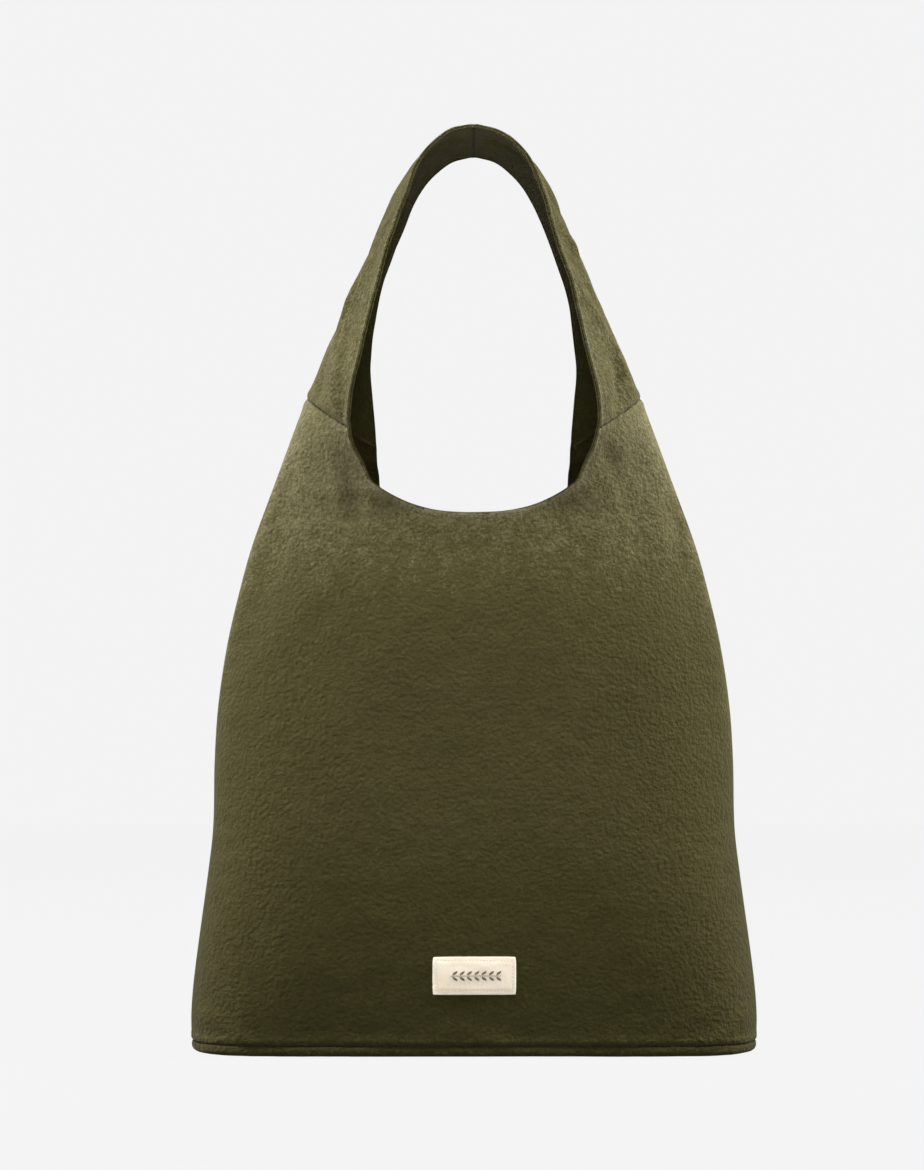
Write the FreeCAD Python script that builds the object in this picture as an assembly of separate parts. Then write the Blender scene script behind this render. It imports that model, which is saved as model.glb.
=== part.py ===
"""Large soft shoulder bag: sewn canvas shell, loose lining, one wide strap, inner zip pocket and magnetic snap.

Millimetres. The origin is the middle of the base on the floor, +X to the bag's right, +Y to its back, +Z up.
"""

import FreeCAD
import Part
import math
import os

os.makedirs("parts", exist_ok=True)
Vector = FreeCAD.Vector

# ---------------------------------------------------------------- driving dimensions
BASE_LENGTH = 416.0  # widest, just above the base
BASE_DEPTH = 118.0
BASE_SEAM = 7.0  # height of the seam between the base and the panels
BELLY_DEPTH = 132.0  # thickest part of the body
MOUTH_HEIGHT = 393.5  # lowest point of the scooped mouth
MOUTH_DEPTH = 69.0  # front to back there
HORN_HEIGHT = 418.0  # where the panels end and the folding horns begin
HORN_HALF_WIDTH = 149.4  # middle to the side seam, at HORN_HEIGHT
HORN_DEPTH = 83.0  # depth of the section that the horns start from
SCOOP_FRONT = 78.0  # middle to the mouth's edge at HORN_HEIGHT
SCOOP_BACK = 73.0
SCOOP_POWER = 2.5
STRAP_TOP = 681.4  # outside of the strap's highest point
STRAP_START = 0.37  # share of the ridge from the horn's foot to the top, where the stiff part begins
FOLD_GAP = 0.6  # between the folding horns and the stiff cloth at either end

SHELL = 1.2  # canvas thickness
LINING = 1.0
FRONT_HANG = 2.8  # the lining's outside lies this far inside the front shell's outside
BACK_HANG = 4.6  # and this far at the back, to leave room for the pocket
STRAP_HANG = 1.5
SEAM_GAP = 0.3  # between neighbouring pieces at a seam
BASE_ROUND = 4.0  # how far the base's edge is rounded in
STIFFENER = 3.0
STIFFENER_INSET = 5.0

LABEL_WIDE = 60.0
LABEL_TALL = 27.0
LABEL_THICK = 0.8
LABEL_HEIGHT = 59.0  # to its middle
LABEL_LIFT = 0.1

SNAP_RADIUS = 9.0
SNAP_THICK = 3.0
SNAP_DROP = 28.0  # mouth edge to the snap's middle
SNAP_LIFT = 0.5  # clear of the lining
STUD_RADIUS = 3.2
STUD_TALL = 2.2
STUD_CLEARANCE = 0.3
WASHER_RADIUS = 8.0
WASHER_THICK = 0.5
PRONG_WIDE = 4.0
PRONG_THICK = 0.6
PRONG_APART = 8.0
PRONG_CLEARANCE = 0.2

ZIP_HEIGHT = 300.0  # of the zip's middle line
ZIP_LONG = 160.0  # the window that the zip closes
ZIP_WINDOW = 12.0
ZIP_LIFT = 0.4  # nearest gap between the lining and the zip's facing
FACING_MARGIN = 11.0
FACING = 0.6
TAPE = 0.5
TAPE_WIDE = 13.0
TAPE_BEYOND = 6.0  # tape past each end of the window
TEETH_APART = 1.2  # gap between the two rows, where the slider's post runs
TOOTH_PITCH = 2.5
TOOTH_LONG = 1.4
TOOTH_TALL = 2.2
TOOTH_DEEP = 1.5
STOP_LONG = 3.0
SLIDER_LONG = 9.0
SLIDER_TALL = 7.6
SLIDER_PLATE = 0.8
SLIDER_CLEARANCE = 0.25
LOOP_BAR = 0.6  # radius of the slider's loop bar
LOOP_WIDE = 5.0
PULLER_LONG = 24.0
PULLER_WIDE = 6.0
PULLER_THICK = 1.2
PULLER_EYE = 0.1  # running clearance on the loop bar
PULLER_REST = 12.0  # degrees that the puller stands off the zip

POCKET_WIDE = 184.0
POCKET_TALL = 130.0
POCKET_ABOVE = 9.0  # pocket cloth above the zip's middle line
POCKET_CLOTH = 0.5
POCKET_SPACE = 1.2

# ---------------------------------------------------------------- shape laws
# Heights are shares of the way from the base seam up to HORN_HEIGHT.
# Side seam: share of the way out from the horn's half width to the base's half length.
SIDE_LAW = [
    (0.0, 0.99), (0.05, 1.0), (0.12, 0.964), (0.3, 0.806), (0.38, 0.748), (0.5, 0.736),
    (0.6, 0.694), (0.71, 0.584), (0.81, 0.428), (0.89, 0.275), (1.0, 0.0),
]
# Section: squareness of its corners, and sharpness at the side seam.
SECTION_LAW = [(0.0, 9.0, 0.5), (0.12, 7.0, 0.52), (0.45, 4.6, 0.62), (0.75, 3.6, 0.8), (1.0, 2.5, 1.0)]
LOW_LEVELS = [0.0, 0.05, 0.12, 0.2, 0.3, 0.42]
HIGH_LEVELS = [0.23, 0.46, 0.67, 0.86, 1.0]  # shares of the way from the last low level up to the mouth
TOP_LEVELS = [1.0, 1.04]  # the last is cut off again
SECTION_SPANS = 24
SECTION_FINE = 200
# Ridge of the strap: share of HORN_HALF_WIDTH out from the middle, share of the way up from
# HORN_HEIGHT to STRAP_TOP. It is the side seam carried on.
RIDGE = [
    (1.0, 0.0), (0.874, 0.197), (0.769, 0.35), (0.65, 0.508), (0.502, 0.699), (0.366, 0.859),
    (0.271, 0.934), (0.134, 0.989), (0.0, 1.0),
]
# Horn and strap sections by share of the ridge: how far the front and back edges fold in from the
# ridge, and how far they reach to the front and back.
FOLD_LAW = [
    (0.0, 71.4, 76.4, 33.0, 33.5), (0.09, 53.0, 66.0, 38.0, 31.0), (0.18, 39.5, 58.0, 43.0, 29.0),
    (0.27, 31.0, 44.5, 46.5, 29.0), (0.37, 26.5, 30.0, 47.5, 31.0), (0.54, 17.5, 14.0, 47.0, 38.0),
    (0.745, 9.0, 8.0, 46.0, 42.0), (0.87, 3.7, 4.5, 45.5, 44.5), (1.0, 0.0, 0.0, 45.0, 45.0),
]
FOLD_STEPS = [0.0, 0.12, 0.25, 0.4, 0.6, 0.8, 1.0]
RIDGE_SOFTNESS = 0.35  # of the fold's rounding, as a share of its reach
HORN_TURN = 0.2  # share of the ridge over which sections turn from level to square with it


def law(rows, at, column=1):
    """A smooth curve through the rows' values, read at one place: cubics that share their slopes."""
    last = len(rows) - 1
    at = min(max(at, rows[0][0]), rows[last][0])
    i = max(j for j in range(last) if rows[j][0] <= at)

    def slope(j):
        low, high = rows[max(j - 1, 0)], rows[min(j + 1, last)]
        return (high[column] - low[column]) / (high[0] - low[0])

    wide = rows[i + 1][0] - rows[i][0]
    s = (at - rows[i][0]) / wide
    ends = rows[i][column] * (1 + 2 * s) * (1 - s) ** 2 + rows[i + 1][column] * (3 - 2 * s) * s**2
    return ends + wide * (slope(i) * s * (1 - s) ** 2 - slope(i + 1) * (1 - s) * s**2)


# ---------------------------------------------------------------- body
def share_up(z):
    return (z - BASE_SEAM) / (HORN_HEIGHT - BASE_SEAM)


def levels():
    """Heights of the sections that the body is lofted through; the mouth's own height is one of them."""
    start = LOW_LEVELS[-1]
    high = [start + (share_up(MOUTH_HEIGHT) - start) * share for share in HIGH_LEVELS]
    return [BASE_SEAM + up * (HORN_HEIGHT - BASE_SEAM) for up in LOW_LEVELS + high + TOP_LEVELS]


def half_width(z):
    flare = BASE_LENGTH / 2 - HORN_HALF_WIDTH
    return HORN_HALF_WIDTH + flare * law(SIDE_LAW, share_up(z))


def half_depth(z):
    mouth = share_up(MOUTH_HEIGHT)
    waist = (0.35 * BELLY_DEPTH + 0.15 * MOUTH_DEPTH, 0.2 * BELLY_DEPTH + 0.3 * MOUTH_DEPTH)
    rows = [
        (0.0, BASE_DEPTH / 2), (0.15, 0.1 * BASE_DEPTH + 0.4 * BELLY_DEPTH), (0.34, BELLY_DEPTH / 2),
        (0.34 + 0.45 * (mouth - 0.34), waist[0]), (0.34 + 0.75 * (mouth - 0.34), waist[1]),
        (mouth, MOUTH_DEPTH / 2), (1.0, HORN_DEPTH / 2),
    ]
    return law(rows, share_up(z))


def reach(x, z, inset=0.0):
    """Middle plane to the cloth: depth * (1 - share across ^ squareness) ^ sharpness."""
    across = min(abs(x) / (half_width(z) - inset), 1.0)
    up = share_up(z)
    return (half_depth(z) - inset) * (1 - across ** law(SECTION_LAW, up, 1)) ** law(SECTION_LAW, up, 2)


def section_knots():
    """Shares of a section's length, closer together towards its ends."""
    return [0.5 - 0.5 * math.cos(math.pi * i / SECTION_SPANS) for i in range(SECTION_SPANS + 1)]


def evenly(points, shares):
    """Points of a fine polyline at given shares of its length."""
    along = [0.0]
    for p, q in zip(points, points[1:]):
        along.append(along[-1] + p.distanceToPoint(q))
    found = []
    i = 0
    for share in shares:
        while i < len(points) - 2 and along[i + 1] < share * along[-1]:
            i += 1
        part = (share * along[-1] - along[i]) / (along[i + 1] - along[i])
        found.append(points[i] + (points[i + 1] - points[i]) * min(part, 1.0))
    return found


def spline(points, knots=None):
    curve = Part.BSplineCurve()
    if knots:
        curve.interpolate(Points=points, Parameters=knots)
    else:
        curve.interpolate(points)
    return curve.toShape()


def closed_strip(outside, inside, knots=None):
    """Wire round a strip of cloth: its outside, its inside run backwards, and the two cut edges."""
    edges = [
        spline(outside, knots),
        Part.LineSegment(outside[-1], inside[0]).toShape(),
        spline(inside, [1 - k for k in reversed(knots)] if knots else None),
        Part.LineSegment(inside[-1], outside[0]).toShape(),
    ]
    return Part.Wire(edges)


def half_section(z, side, inset, edge):
    """Section of one side's cloth. It ends at the distance edge from the middle plane."""
    a = half_width(z) - inset
    fine = [math.sin(0.5 * math.pi * i / SECTION_FINE) for i in range(-SECTION_FINE, SECTION_FINE + 1)]
    points = [Vector(a * s, side * max(reach(a * s, z, inset), edge), z) for s in fine]
    return evenly(points, section_knots())


def layer(side, near, far):
    """Cloth of one side of the body between two insets from the shell's outside."""
    wires = []
    for z in levels():
        outside = half_section(z, side, near, SEAM_GAP / 2)
        inside = half_section(z, side, far, SEAM_GAP / 2)[::-1]
        wires.append(closed_strip(outside, inside, section_knots()))
    return Part.makeLoft(wires, True)


def below(inset):
    """Solid inside the whole body at an inset."""
    wires = []
    for z in levels():
        front = half_section(z, -1, inset, 0.0)
        back = half_section(z, 1, inset, 0.0)[::-1]
        wires.append(Part.Wire([spline(front, section_knots()), spline(back, section_knots())]))
    return Part.makeLoft(wires, True)


def scoop(side):
    """Everything above the mouth's edge and above the horns' feet, on one side of the body."""
    half = SCOOP_FRONT if side < 0 else SCOOP_BACK
    rise = HORN_HEIGHT - MOUTH_HEIGHT
    shares = [s / 6 for s in range(-6, 7)]
    mouth = [Vector(half * s, 0, MOUTH_HEIGHT + rise * abs(s) ** SCOOP_POWER) for s in shares]
    right = Vector(BASE_LENGTH, 0, HORN_HEIGHT)
    left = Vector(-BASE_LENGTH, 0, HORN_HEIGHT)
    over = Vector(0, 0, BASE_LENGTH)
    rest = Part.makePolygon([mouth[-1], right, right + over, left + over, left, mouth[0]])
    outline = Part.Wire([spline(mouth)] + rest.Edges)
    return Part.Face(outline).extrude(Vector(0, side * BELLY_DEPTH, 0))


def panel(side, near, far):
    return layer(side, near, far).cut(scoop(side))


def block(wide, deep, tall, centre):
    corner = centre - Vector(wide / 2, deep / 2, tall / 2)
    return Part.makeBox(wide, deep, tall, corner)


# ---------------------------------------------------------------- base
def base_outline(inset, z):
    ends = []
    for side in (-1, 1):
        points = [Vector(p.x, p.y, z) for p in half_section(BASE_SEAM, side, inset, 0.0)]
        ends.append(spline(points[::-side], section_knots()))
    return Part.Wire(ends)


def base_tray(inset, floor):
    """Solid with a rounded lower edge, from the floor up to the base seam."""
    rows = [(1.0, 0.0), (0.45, 0.14), (0.12, 0.45), (0.0, 1.0)]  # rounding left, share of the way up
    top = BASE_SEAM - SEAM_GAP
    wires = [base_outline(inset + BASE_ROUND * left, floor + up * (top - floor)) for left, up in rows]
    return Part.makeLoft(wires, True)


def base_plate(inset, low, thick):
    return Part.Face(base_outline(inset, low)).extrude(Vector(0, 0, thick))


# ---------------------------------------------------------------- horns and strap
def ridge_curve():
    points = [Vector(x * HORN_HALF_WIDTH, 0, HORN_HEIGHT + up * (STRAP_TOP - HORN_HEIGHT)) for x, up in RIDGE]
    curve = Part.BSplineCurve()
    curve.interpolate(Points=points, FinalTangent=Vector(-1, 0, 0), InitialTangent=Vector(-0.38, 0, 0.92))
    return curve


def ridge_frame(curve, share, side):
    """Point of the ridge at a share of its length, and the direction in which the edges fold."""
    place = curve.parameterAtDistance(share * curve.length(), curve.FirstParameter)
    point = curve.value(place)
    along = curve.tangent(place)[0]
    turn = min(share / HORN_TURN, 1.0)
    lean = math.atan2(-along.x, along.z) * (3 - 2 * turn) * turn**2
    return Vector(side * point.x, 0, point.z), Vector(-side * math.cos(lean), 0, -math.sin(lean))


def fold_points(curve, share, side, depth):
    """Front edge, over the ridge, to the back edge, at a depth below the cloth's outside.
    Fold in from the ridge: (sqrt(q^2 + soft^2) - soft) / (sqrt(1 + soft^2) - soft), q being the
    share of the way out to the edge."""
    ridge, inward = ridge_frame(curve, share, side)
    soft = RIDGE_SOFTNESS
    flat = []
    for q in [-s for s in reversed(FOLD_STEPS[1:])] + FOLD_STEPS:
        front = q < 0
        fold = law(FOLD_LAW, share, 1 if front else 2)
        out = law(FOLD_LAW, share, 3 if front else 4)
        flat.append((out * q, fold * (math.hypot(q, soft) - soft) / (math.hypot(1, soft) - soft)))
    points = []
    for i, (y, h) in enumerate(flat):
        (y0, h0), (y1, h1) = flat[max(i - 1, 0)], flat[min(i + 1, len(flat) - 1)]
        long = math.hypot(y1 - y0, h1 - h0)
        y_in = y - depth * (h1 - h0) / long
        h_in = h + depth * (y1 - y0) / long
        points.append(ridge + inward * h_in + Vector(0, y_in, 0))
    return points


def band(side, near, far, start, end, steps):
    """Cloth of one side's horn or strap between two depths, over a stretch of the ridge."""
    curve = ridge_curve()
    wires = []
    for i in range(steps + 1):
        share = start + (end - start) * i / steps
        outside = fold_points(curve, share, side, near)
        inside = fold_points(curve, share, side, far)
        wires.append(closed_strip(outside, inside[::-1]))
    return Part.makeLoft(wires, True)


def strap_band(side, near, far):
    """Stiff part of the strap, up to the seam over the top."""
    shape = band(side, near, far, STRAP_START, 1.0, 12)
    return shape.cut(block(SEAM_GAP, 2 * STRAP_TOP, 2 * STRAP_TOP, Vector(0, 0, STRAP_TOP)))


def horn(side, near, far):
    """Cloth that bends when the strap folds over, clear of the stiff cloth above and below it."""
    length = ridge_curve().length()
    return band(side, near, far, FOLD_GAP / length, STRAP_START - FOLD_GAP / length, 8)


# ---------------------------------------------------------------- pieces placed on the linings
def lean_place(side, height, hang):
    """Placement on the inside of a lining: local z points into the bag, local y up the cloth."""
    step = 4.0
    inset = hang + LINING
    y = reach(0, height, inset)
    slope = (reach(0, height + step, inset) - reach(0, height - step, inset)) / (2 * step)
    tilt = math.degrees(math.atan(slope))
    turn = FreeCAD.Rotation(Vector(1, 0, 0), 90 - side * tilt)
    if side < 0:
        turn = turn.multiply(FreeCAD.Rotation(Vector(0, 1, 0), 180))
    return FreeCAD.Placement(Vector(0, side * y, height), turn)


def put(shape, placement):
    moved = shape.copy()
    moved.Placement = placement.multiply(moved.Placement)
    return moved


def prongs(clearance, low, high):
    """Two flat legs, at both sides of the middle."""
    legs = []
    for sign in (-1, 1):
        centre = Vector(sign * PRONG_APART / 2, 0, (low + high) / 2)
        legs.append(block(PRONG_THICK + 2 * clearance, PRONG_WIDE + 2 * clearance, high - low, centre))
    return legs


def snap_parts(side, hang):
    """Disc with its two prongs, washer behind the lining, and the holes that the prongs need."""
    place = lean_place(side, MOUTH_HEIGHT - SNAP_DROP, hang)
    disc = Part.makeCylinder(SNAP_RADIUS, SNAP_THICK, Vector(0, 0, SNAP_LIFT))
    rim = max(disc.Edges, key=lambda e: e.CenterOfMass.z)
    disc = disc.makeFillet(0.25 * SNAP_THICK, [rim])
    top = SNAP_LIFT + SNAP_THICK
    if side < 0:
        disc = disc.fuse(Part.makeCylinder(STUD_RADIUS, STUD_TALL, Vector(0, 0, top)))
    else:
        deep = STUD_TALL + STUD_CLEARANCE
        disc = disc.cut(Part.makeCylinder(STUD_RADIUS + STUD_CLEARANCE, deep, Vector(0, 0, top - deep)))
    back = -LINING - SNAP_LIFT
    for leg in prongs(0.0, back - WASHER_THICK, SNAP_LIFT + 0.1):
        disc = disc.fuse(leg)
    washer = Part.makeCylinder(WASHER_RADIUS, WASHER_THICK, Vector(0, 0, back - WASHER_THICK))
    holes = prongs(PRONG_CLEARANCE, back - 2 * WASHER_THICK, SNAP_LIFT)
    for hole in holes:
        washer = washer.cut(hole)
    return put(disc, place), put(washer, place), [put(hole, place) for hole in holes]


# ---------------------------------------------------------------- zip, in its own flat frame
def zip_lean():
    """Radians that the back lining leans over the height of the zip's facing."""
    tall = ZIP_WINDOW + 2 * FACING_MARGIN
    low, high = (reach(0, ZIP_HEIGHT + sign * tall / 2, BACK_HANG + LINING) for sign in (-1, 1))
    return math.atan((low - high) / tall)


def zip_place():
    """Local x runs along the zip, local y up it, local z into the bag. The facing's back is at z 0."""
    tall = ZIP_WINDOW + 2 * FACING_MARGIN
    wide = ZIP_LONG + 2 * FACING_MARGIN
    inset = BACK_HANG + LINING
    lean = zip_lean()
    nearest = min(
        reach(x, ZIP_HEIGHT + up * math.cos(lean), inset) + up * math.sin(lean)
        for x in (0, wide / 4, wide / 2)
        for up in (-tall / 2, 0, tall / 2)
    )
    turn = FreeCAD.Rotation(Vector(1, 0, 0), 90 + math.degrees(lean))
    return FreeCAD.Placement(Vector(0, nearest - ZIP_LIFT - TAPE - FACING, ZIP_HEIGHT), turn)


def zip_facing():
    """Flat frame of cloth round the window, on top of the tapes."""
    wide, tall = ZIP_LONG + 2 * FACING_MARGIN, ZIP_WINDOW + 2 * FACING_MARGIN
    outer = block(wide, tall, FACING, Vector(0, 0, FACING / 2))
    return outer.cut(block(ZIP_LONG, ZIP_WINDOW, 4 * FACING, Vector()))


def zip_tape(sign):
    tall = TAPE_WIDE
    inner = TEETH_APART / 2 + 0.6 * TOOTH_TALL
    return block(ZIP_LONG + 2 * TAPE_BEYOND, tall, TAPE, Vector(0, sign * (inner + tall / 2), zip_centre_depth()))


def zip_teeth(sign):
    """One row: each tooth grips the tape's edge, half a pitch out of step with the other row."""
    count = int((ZIP_LONG - 2 * STOP_LONG - TOOTH_PITCH) / TOOTH_PITCH)
    start = -0.5 * (count - 1) * TOOTH_PITCH + 0.25 * sign * TOOTH_PITCH
    y = sign * (TEETH_APART / 2 + TOOTH_TALL / 2)
    tape = zip_tape(sign)
    teeth = []
    for i in range(count):
        tooth = block(TOOTH_LONG, TOOTH_TALL, TOOTH_DEEP, Vector(start + i * TOOTH_PITCH, y, zip_centre_depth()))
        teeth.append(tooth.cut(tape))
    return Part.makeCompound(teeth)


def slider_half_gap():
    return TOOTH_DEEP / 2 + SLIDER_CLEARANCE


def loop_height():
    return slider_half_gap() + SLIDER_PLATE + PULLER_WIDE * 0.25 + LOOP_BAR


def zip_centre_depth():
    return -0.05 - TAPE / 2


def zip_start():
    """Middle of the slider when the zip is closed."""
    return ZIP_LONG / 2 - STOP_LONG - SLIDER_LONG / 2 - 1.0


def zip_slider():
    """Two plates joined by a post between the rows of teeth, with a loop for the puller."""
    gap = slider_half_gap()
    body = block(SLIDER_CLEARANCE + SLIDER_PLATE, 0.6 * TEETH_APART, 2 * gap, Vector(0.4 * SLIDER_LONG, 0, 0))
    for sign in (-1, 1):
        plate = block(SLIDER_LONG, SLIDER_TALL, SLIDER_PLATE, Vector(0, 0, sign * (gap + SLIDER_PLATE / 2)))
        corners = [e for e in plate.Edges if abs(e.tangentAt(e.FirstParameter).z) > 0.9]
        body = body.fuse(plate.makeFillet(0.2 * SLIDER_TALL, corners))
    z = loop_height()
    bar = Part.makeCylinder(LOOP_BAR, LOOP_WIDE, Vector(0, -LOOP_WIDE / 2, z), Vector(0, 1, 0))
    for sign in (-1, 1):
        tall = z + LOOP_BAR - gap - 0.1
        centre = Vector(0, sign * (LOOP_WIDE / 2 - 0.5), gap + 0.1 + tall / 2)
        body = body.fuse(block(2 * LOOP_BAR, 1.0, tall, centre))
    return body.fuse(bar).removeSplitter()


def zip_puller():
    """Flat tab with an eye round the slider's loop bar, lying along the zip."""
    eye = LOOP_BAR + PULLER_EYE
    ring = eye + 0.8
    inner = LOOP_WIDE - 2.6
    tab = block(PULLER_LONG - 6.0, PULLER_WIDE, PULLER_THICK, Vector(-6.0 - (PULLER_LONG - 6.0) / 2, 0, 0))
    ends = [e for e in tab.Edges if abs(e.tangentAt(e.FirstParameter).z) > 0.9]
    tab = tab.makeFillet(0.3 * PULLER_WIDE, ends)
    neck = block(7.0, inner, PULLER_THICK, Vector(-3.5, 0, 0))
    boss = Part.makeCylinder(ring, inner, Vector(0, -inner / 2, 0), Vector(0, 1, 0))
    shape = tab.fuse(neck).fuse(boss)
    return shape.cut(Part.makeCylinder(eye, 2 * inner, Vector(0, -inner, 0), Vector(0, 1, 0))).removeSplitter()


# ---------------------------------------------------------------- build
parts = {}
for side, name, hang in ((-1, "front", FRONT_HANG), (1, "back", BACK_HANG)):
    parts[name + "_panel"] = panel(side, 0.0, SHELL)
    parts[name + "_lining"] = panel(side, hang, hang + LINING)
for side, name in ((-1, "left"), (1, "right")):
    parts["horn_" + name] = horn(side, 0.0, SHELL)
    parts["horn_lining_" + name] = horn(side, STRAP_HANG, STRAP_HANG + LINING)
    parts["strap_" + name] = strap_band(side, 0.0, SHELL)
    parts["strap_lining_" + name] = strap_band(side, STRAP_HANG, STRAP_HANG + LINING)

lining_floor = BASE_SEAM - SEAM_GAP - LINING
parts["base_panel"] = base_tray(0.0, 0.0).cut(base_tray(SHELL, SHELL)).cut(
    base_plate(SHELL, BASE_SEAM - 2 * SEAM_GAP, BASE_SEAM))
parts["base_stiffener"] = base_plate(STIFFENER_INSET, SHELL + SEAM_GAP, STIFFENER)
parts["base_lining"] = base_plate(SHELL + SEAM_GAP, lining_floor, LINING)

label_block = block(LABEL_WIDE, BELLY_DEPTH * 2, LABEL_TALL, Vector(0, -BELLY_DEPTH, LABEL_HEIGHT))
parts["label"] = layer(-1, -LABEL_LIFT - LABEL_THICK, -LABEL_LIFT).common(label_block)

for side, name, hang in ((-1, "front", FRONT_HANG), (1, "back", BACK_HANG)):
    disc, washer, holes = snap_parts(side, hang)
    parts["snap_" + name] = disc
    parts["snap_washer_" + name] = washer
    for hole in holes:
        parts[name + "_lining"] = parts[name + "_lining"].cut(hole)

window = block(ZIP_LONG, BELLY_DEPTH, ZIP_WINDOW, Vector(0, BELLY_DEPTH / 2, ZIP_HEIGHT))
parts["back_lining"] = parts["back_lining"].cut(window)
place = zip_place()
parts["zip_facing"] = put(zip_facing(), place)
for sign, name in ((-1, "lower"), (1, "upper")):
    parts["zip_tape_" + name] = put(zip_tape(sign), place)
    parts["zip_teeth_" + name] = put(zip_teeth(sign), place)

pocket_low = ZIP_HEIGHT + POCKET_ABOVE - POCKET_TALL
pocket_centre = Vector(0, BELLY_DEPTH, pocket_low + POCKET_TALL / 2)
pocket_near = BACK_HANG - SEAM_GAP - POCKET_SPACE - 2 * POCKET_CLOTH
pocket = layer(1, pocket_near, BACK_HANG - SEAM_GAP).common(
    block(POCKET_WIDE, 2 * BELLY_DEPTH, POCKET_TALL, pocket_centre))
space = layer(1, pocket_near + POCKET_CLOTH, BACK_HANG - SEAM_GAP - POCKET_CLOTH).common(
    block(POCKET_WIDE - 2, 2 * BELLY_DEPTH, POCKET_TALL - 2, pocket_centre))
mouth = window.common(below(pocket_near + POCKET_CLOTH + 0.1))
parts["pocket_bag"] = pocket.cut(space).cut(mouth)

to_slider = FreeCAD.Placement(Vector(zip_start(), 0, zip_centre_depth()), FreeCAD.Rotation())
parts["zip_slider"] = put(zip_slider(), place.multiply(to_slider))
puller_turn = FreeCAD.Rotation(Vector(0, 1, 0), PULLER_REST)
to_puller = FreeCAD.Placement(Vector(zip_start(), 0, zip_centre_depth() + loop_height()), puller_turn)
parts["zip_puller"] = put(zip_puller(), place.multiply(to_puller))
stops = []
for sign in (-1, 1):
    stops.append(block(STOP_LONG, TEETH_APART + 2 * TOOTH_TALL, TOOTH_DEEP,
                       Vector(sign * (ZIP_LONG / 2 - STOP_LONG / 2), 0, zip_centre_depth())))
for sign, name, stop in ((-1, "open", stops[0]), (1, "closed", stops[1])):
    for tape_sign in (-1, 1):
        stop = stop.cut(zip_tape(tape_sign))
    parts["zip_stop_" + name] = put(stop, place)

for name, shape in parts.items():
    print(f"{name:22s} valid {shape.isValid()} solids {len(shape.Solids)} volume {shape.Volume:10.1f}")
    shape.exportStep(f"parts/{name}.step")
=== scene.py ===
"""Looks of a large washed-canvas shoulder bag: sewn panels, folded strap, lining, label, stitching and hardware.

Lengths are in millimetres up to new_piece(), which turns them into metres. X is to the bag's right,
Y to its back and Z up. Cloth is a surface worked out on a grid, with its folds added along its normal.
"""

import math
import bpy
import numpy as np
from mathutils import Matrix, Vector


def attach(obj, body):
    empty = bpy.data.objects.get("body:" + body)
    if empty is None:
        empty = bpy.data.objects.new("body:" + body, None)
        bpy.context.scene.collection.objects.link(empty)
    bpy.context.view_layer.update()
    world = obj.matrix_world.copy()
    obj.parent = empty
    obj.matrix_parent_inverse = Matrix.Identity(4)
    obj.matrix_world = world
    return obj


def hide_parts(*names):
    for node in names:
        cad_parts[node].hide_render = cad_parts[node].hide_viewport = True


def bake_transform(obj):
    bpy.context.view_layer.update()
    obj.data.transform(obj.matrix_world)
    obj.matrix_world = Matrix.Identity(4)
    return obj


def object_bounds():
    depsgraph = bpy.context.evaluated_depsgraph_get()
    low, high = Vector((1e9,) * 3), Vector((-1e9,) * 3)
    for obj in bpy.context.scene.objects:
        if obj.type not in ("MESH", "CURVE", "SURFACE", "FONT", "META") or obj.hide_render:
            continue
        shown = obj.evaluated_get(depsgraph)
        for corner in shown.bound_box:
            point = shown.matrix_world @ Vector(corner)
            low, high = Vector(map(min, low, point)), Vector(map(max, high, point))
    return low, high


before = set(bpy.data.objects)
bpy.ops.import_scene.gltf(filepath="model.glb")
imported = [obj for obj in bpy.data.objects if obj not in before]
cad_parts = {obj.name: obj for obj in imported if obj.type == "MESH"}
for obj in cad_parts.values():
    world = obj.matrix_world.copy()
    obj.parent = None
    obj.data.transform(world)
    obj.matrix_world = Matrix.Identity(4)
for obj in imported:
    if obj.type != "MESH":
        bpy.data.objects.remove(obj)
cad_low, cad_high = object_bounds()
MM = 0.001

# ---------------------------------------------------------------- sizes, the same as the frame's
BASE_HALF = 0.5 * (cad_high[0] - cad_low[0]) / MM
STRAP_TOP = cad_high[2] / MM - 0.7
BASE_SEAM = 7.0
BASE_DEPTH = 118.0
BELLY_DEPTH = 132.0
MOUTH_HEIGHT = 393.5
MOUTH_DEPTH = 69.0
HORN_HEIGHT = 418.0
HORN_HALF_WIDTH = 149.4
HORN_DEPTH = 83.0
SCOOP_SHARE = {-1: 0.521, 1: 0.4876}  # of the half width, at HORN_HEIGHT
SCOOP_POWER = 2.5
SEAM_HEIGHT = 483.5  # ridge end of the seams between horns and strap
SEAM_DROP = 15.0  # how much lower on the ridge the seam's section lies at the cloth's edges
CANVAS = 1.2
LINING = 0.9
LINING_DEPTH = {-1: 2.8, 1: 4.6}
EDGE_ROLL = 0.78  # radius of the turned canvas edge
FACING_ROLL = 0.62
SEAM_ROLL = 1.1  # radius of the allowance that closes the strap's seams from inside
EDGE_PITCH = 1.6  # of the points along the free edges
BODY_MIDDLE = 300.0  # a height that lies inwards of every free edge
STITCH_INSET = 3.1
STITCH_PITCH = 3.3
STITCH_LONG = 2.3

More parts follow.
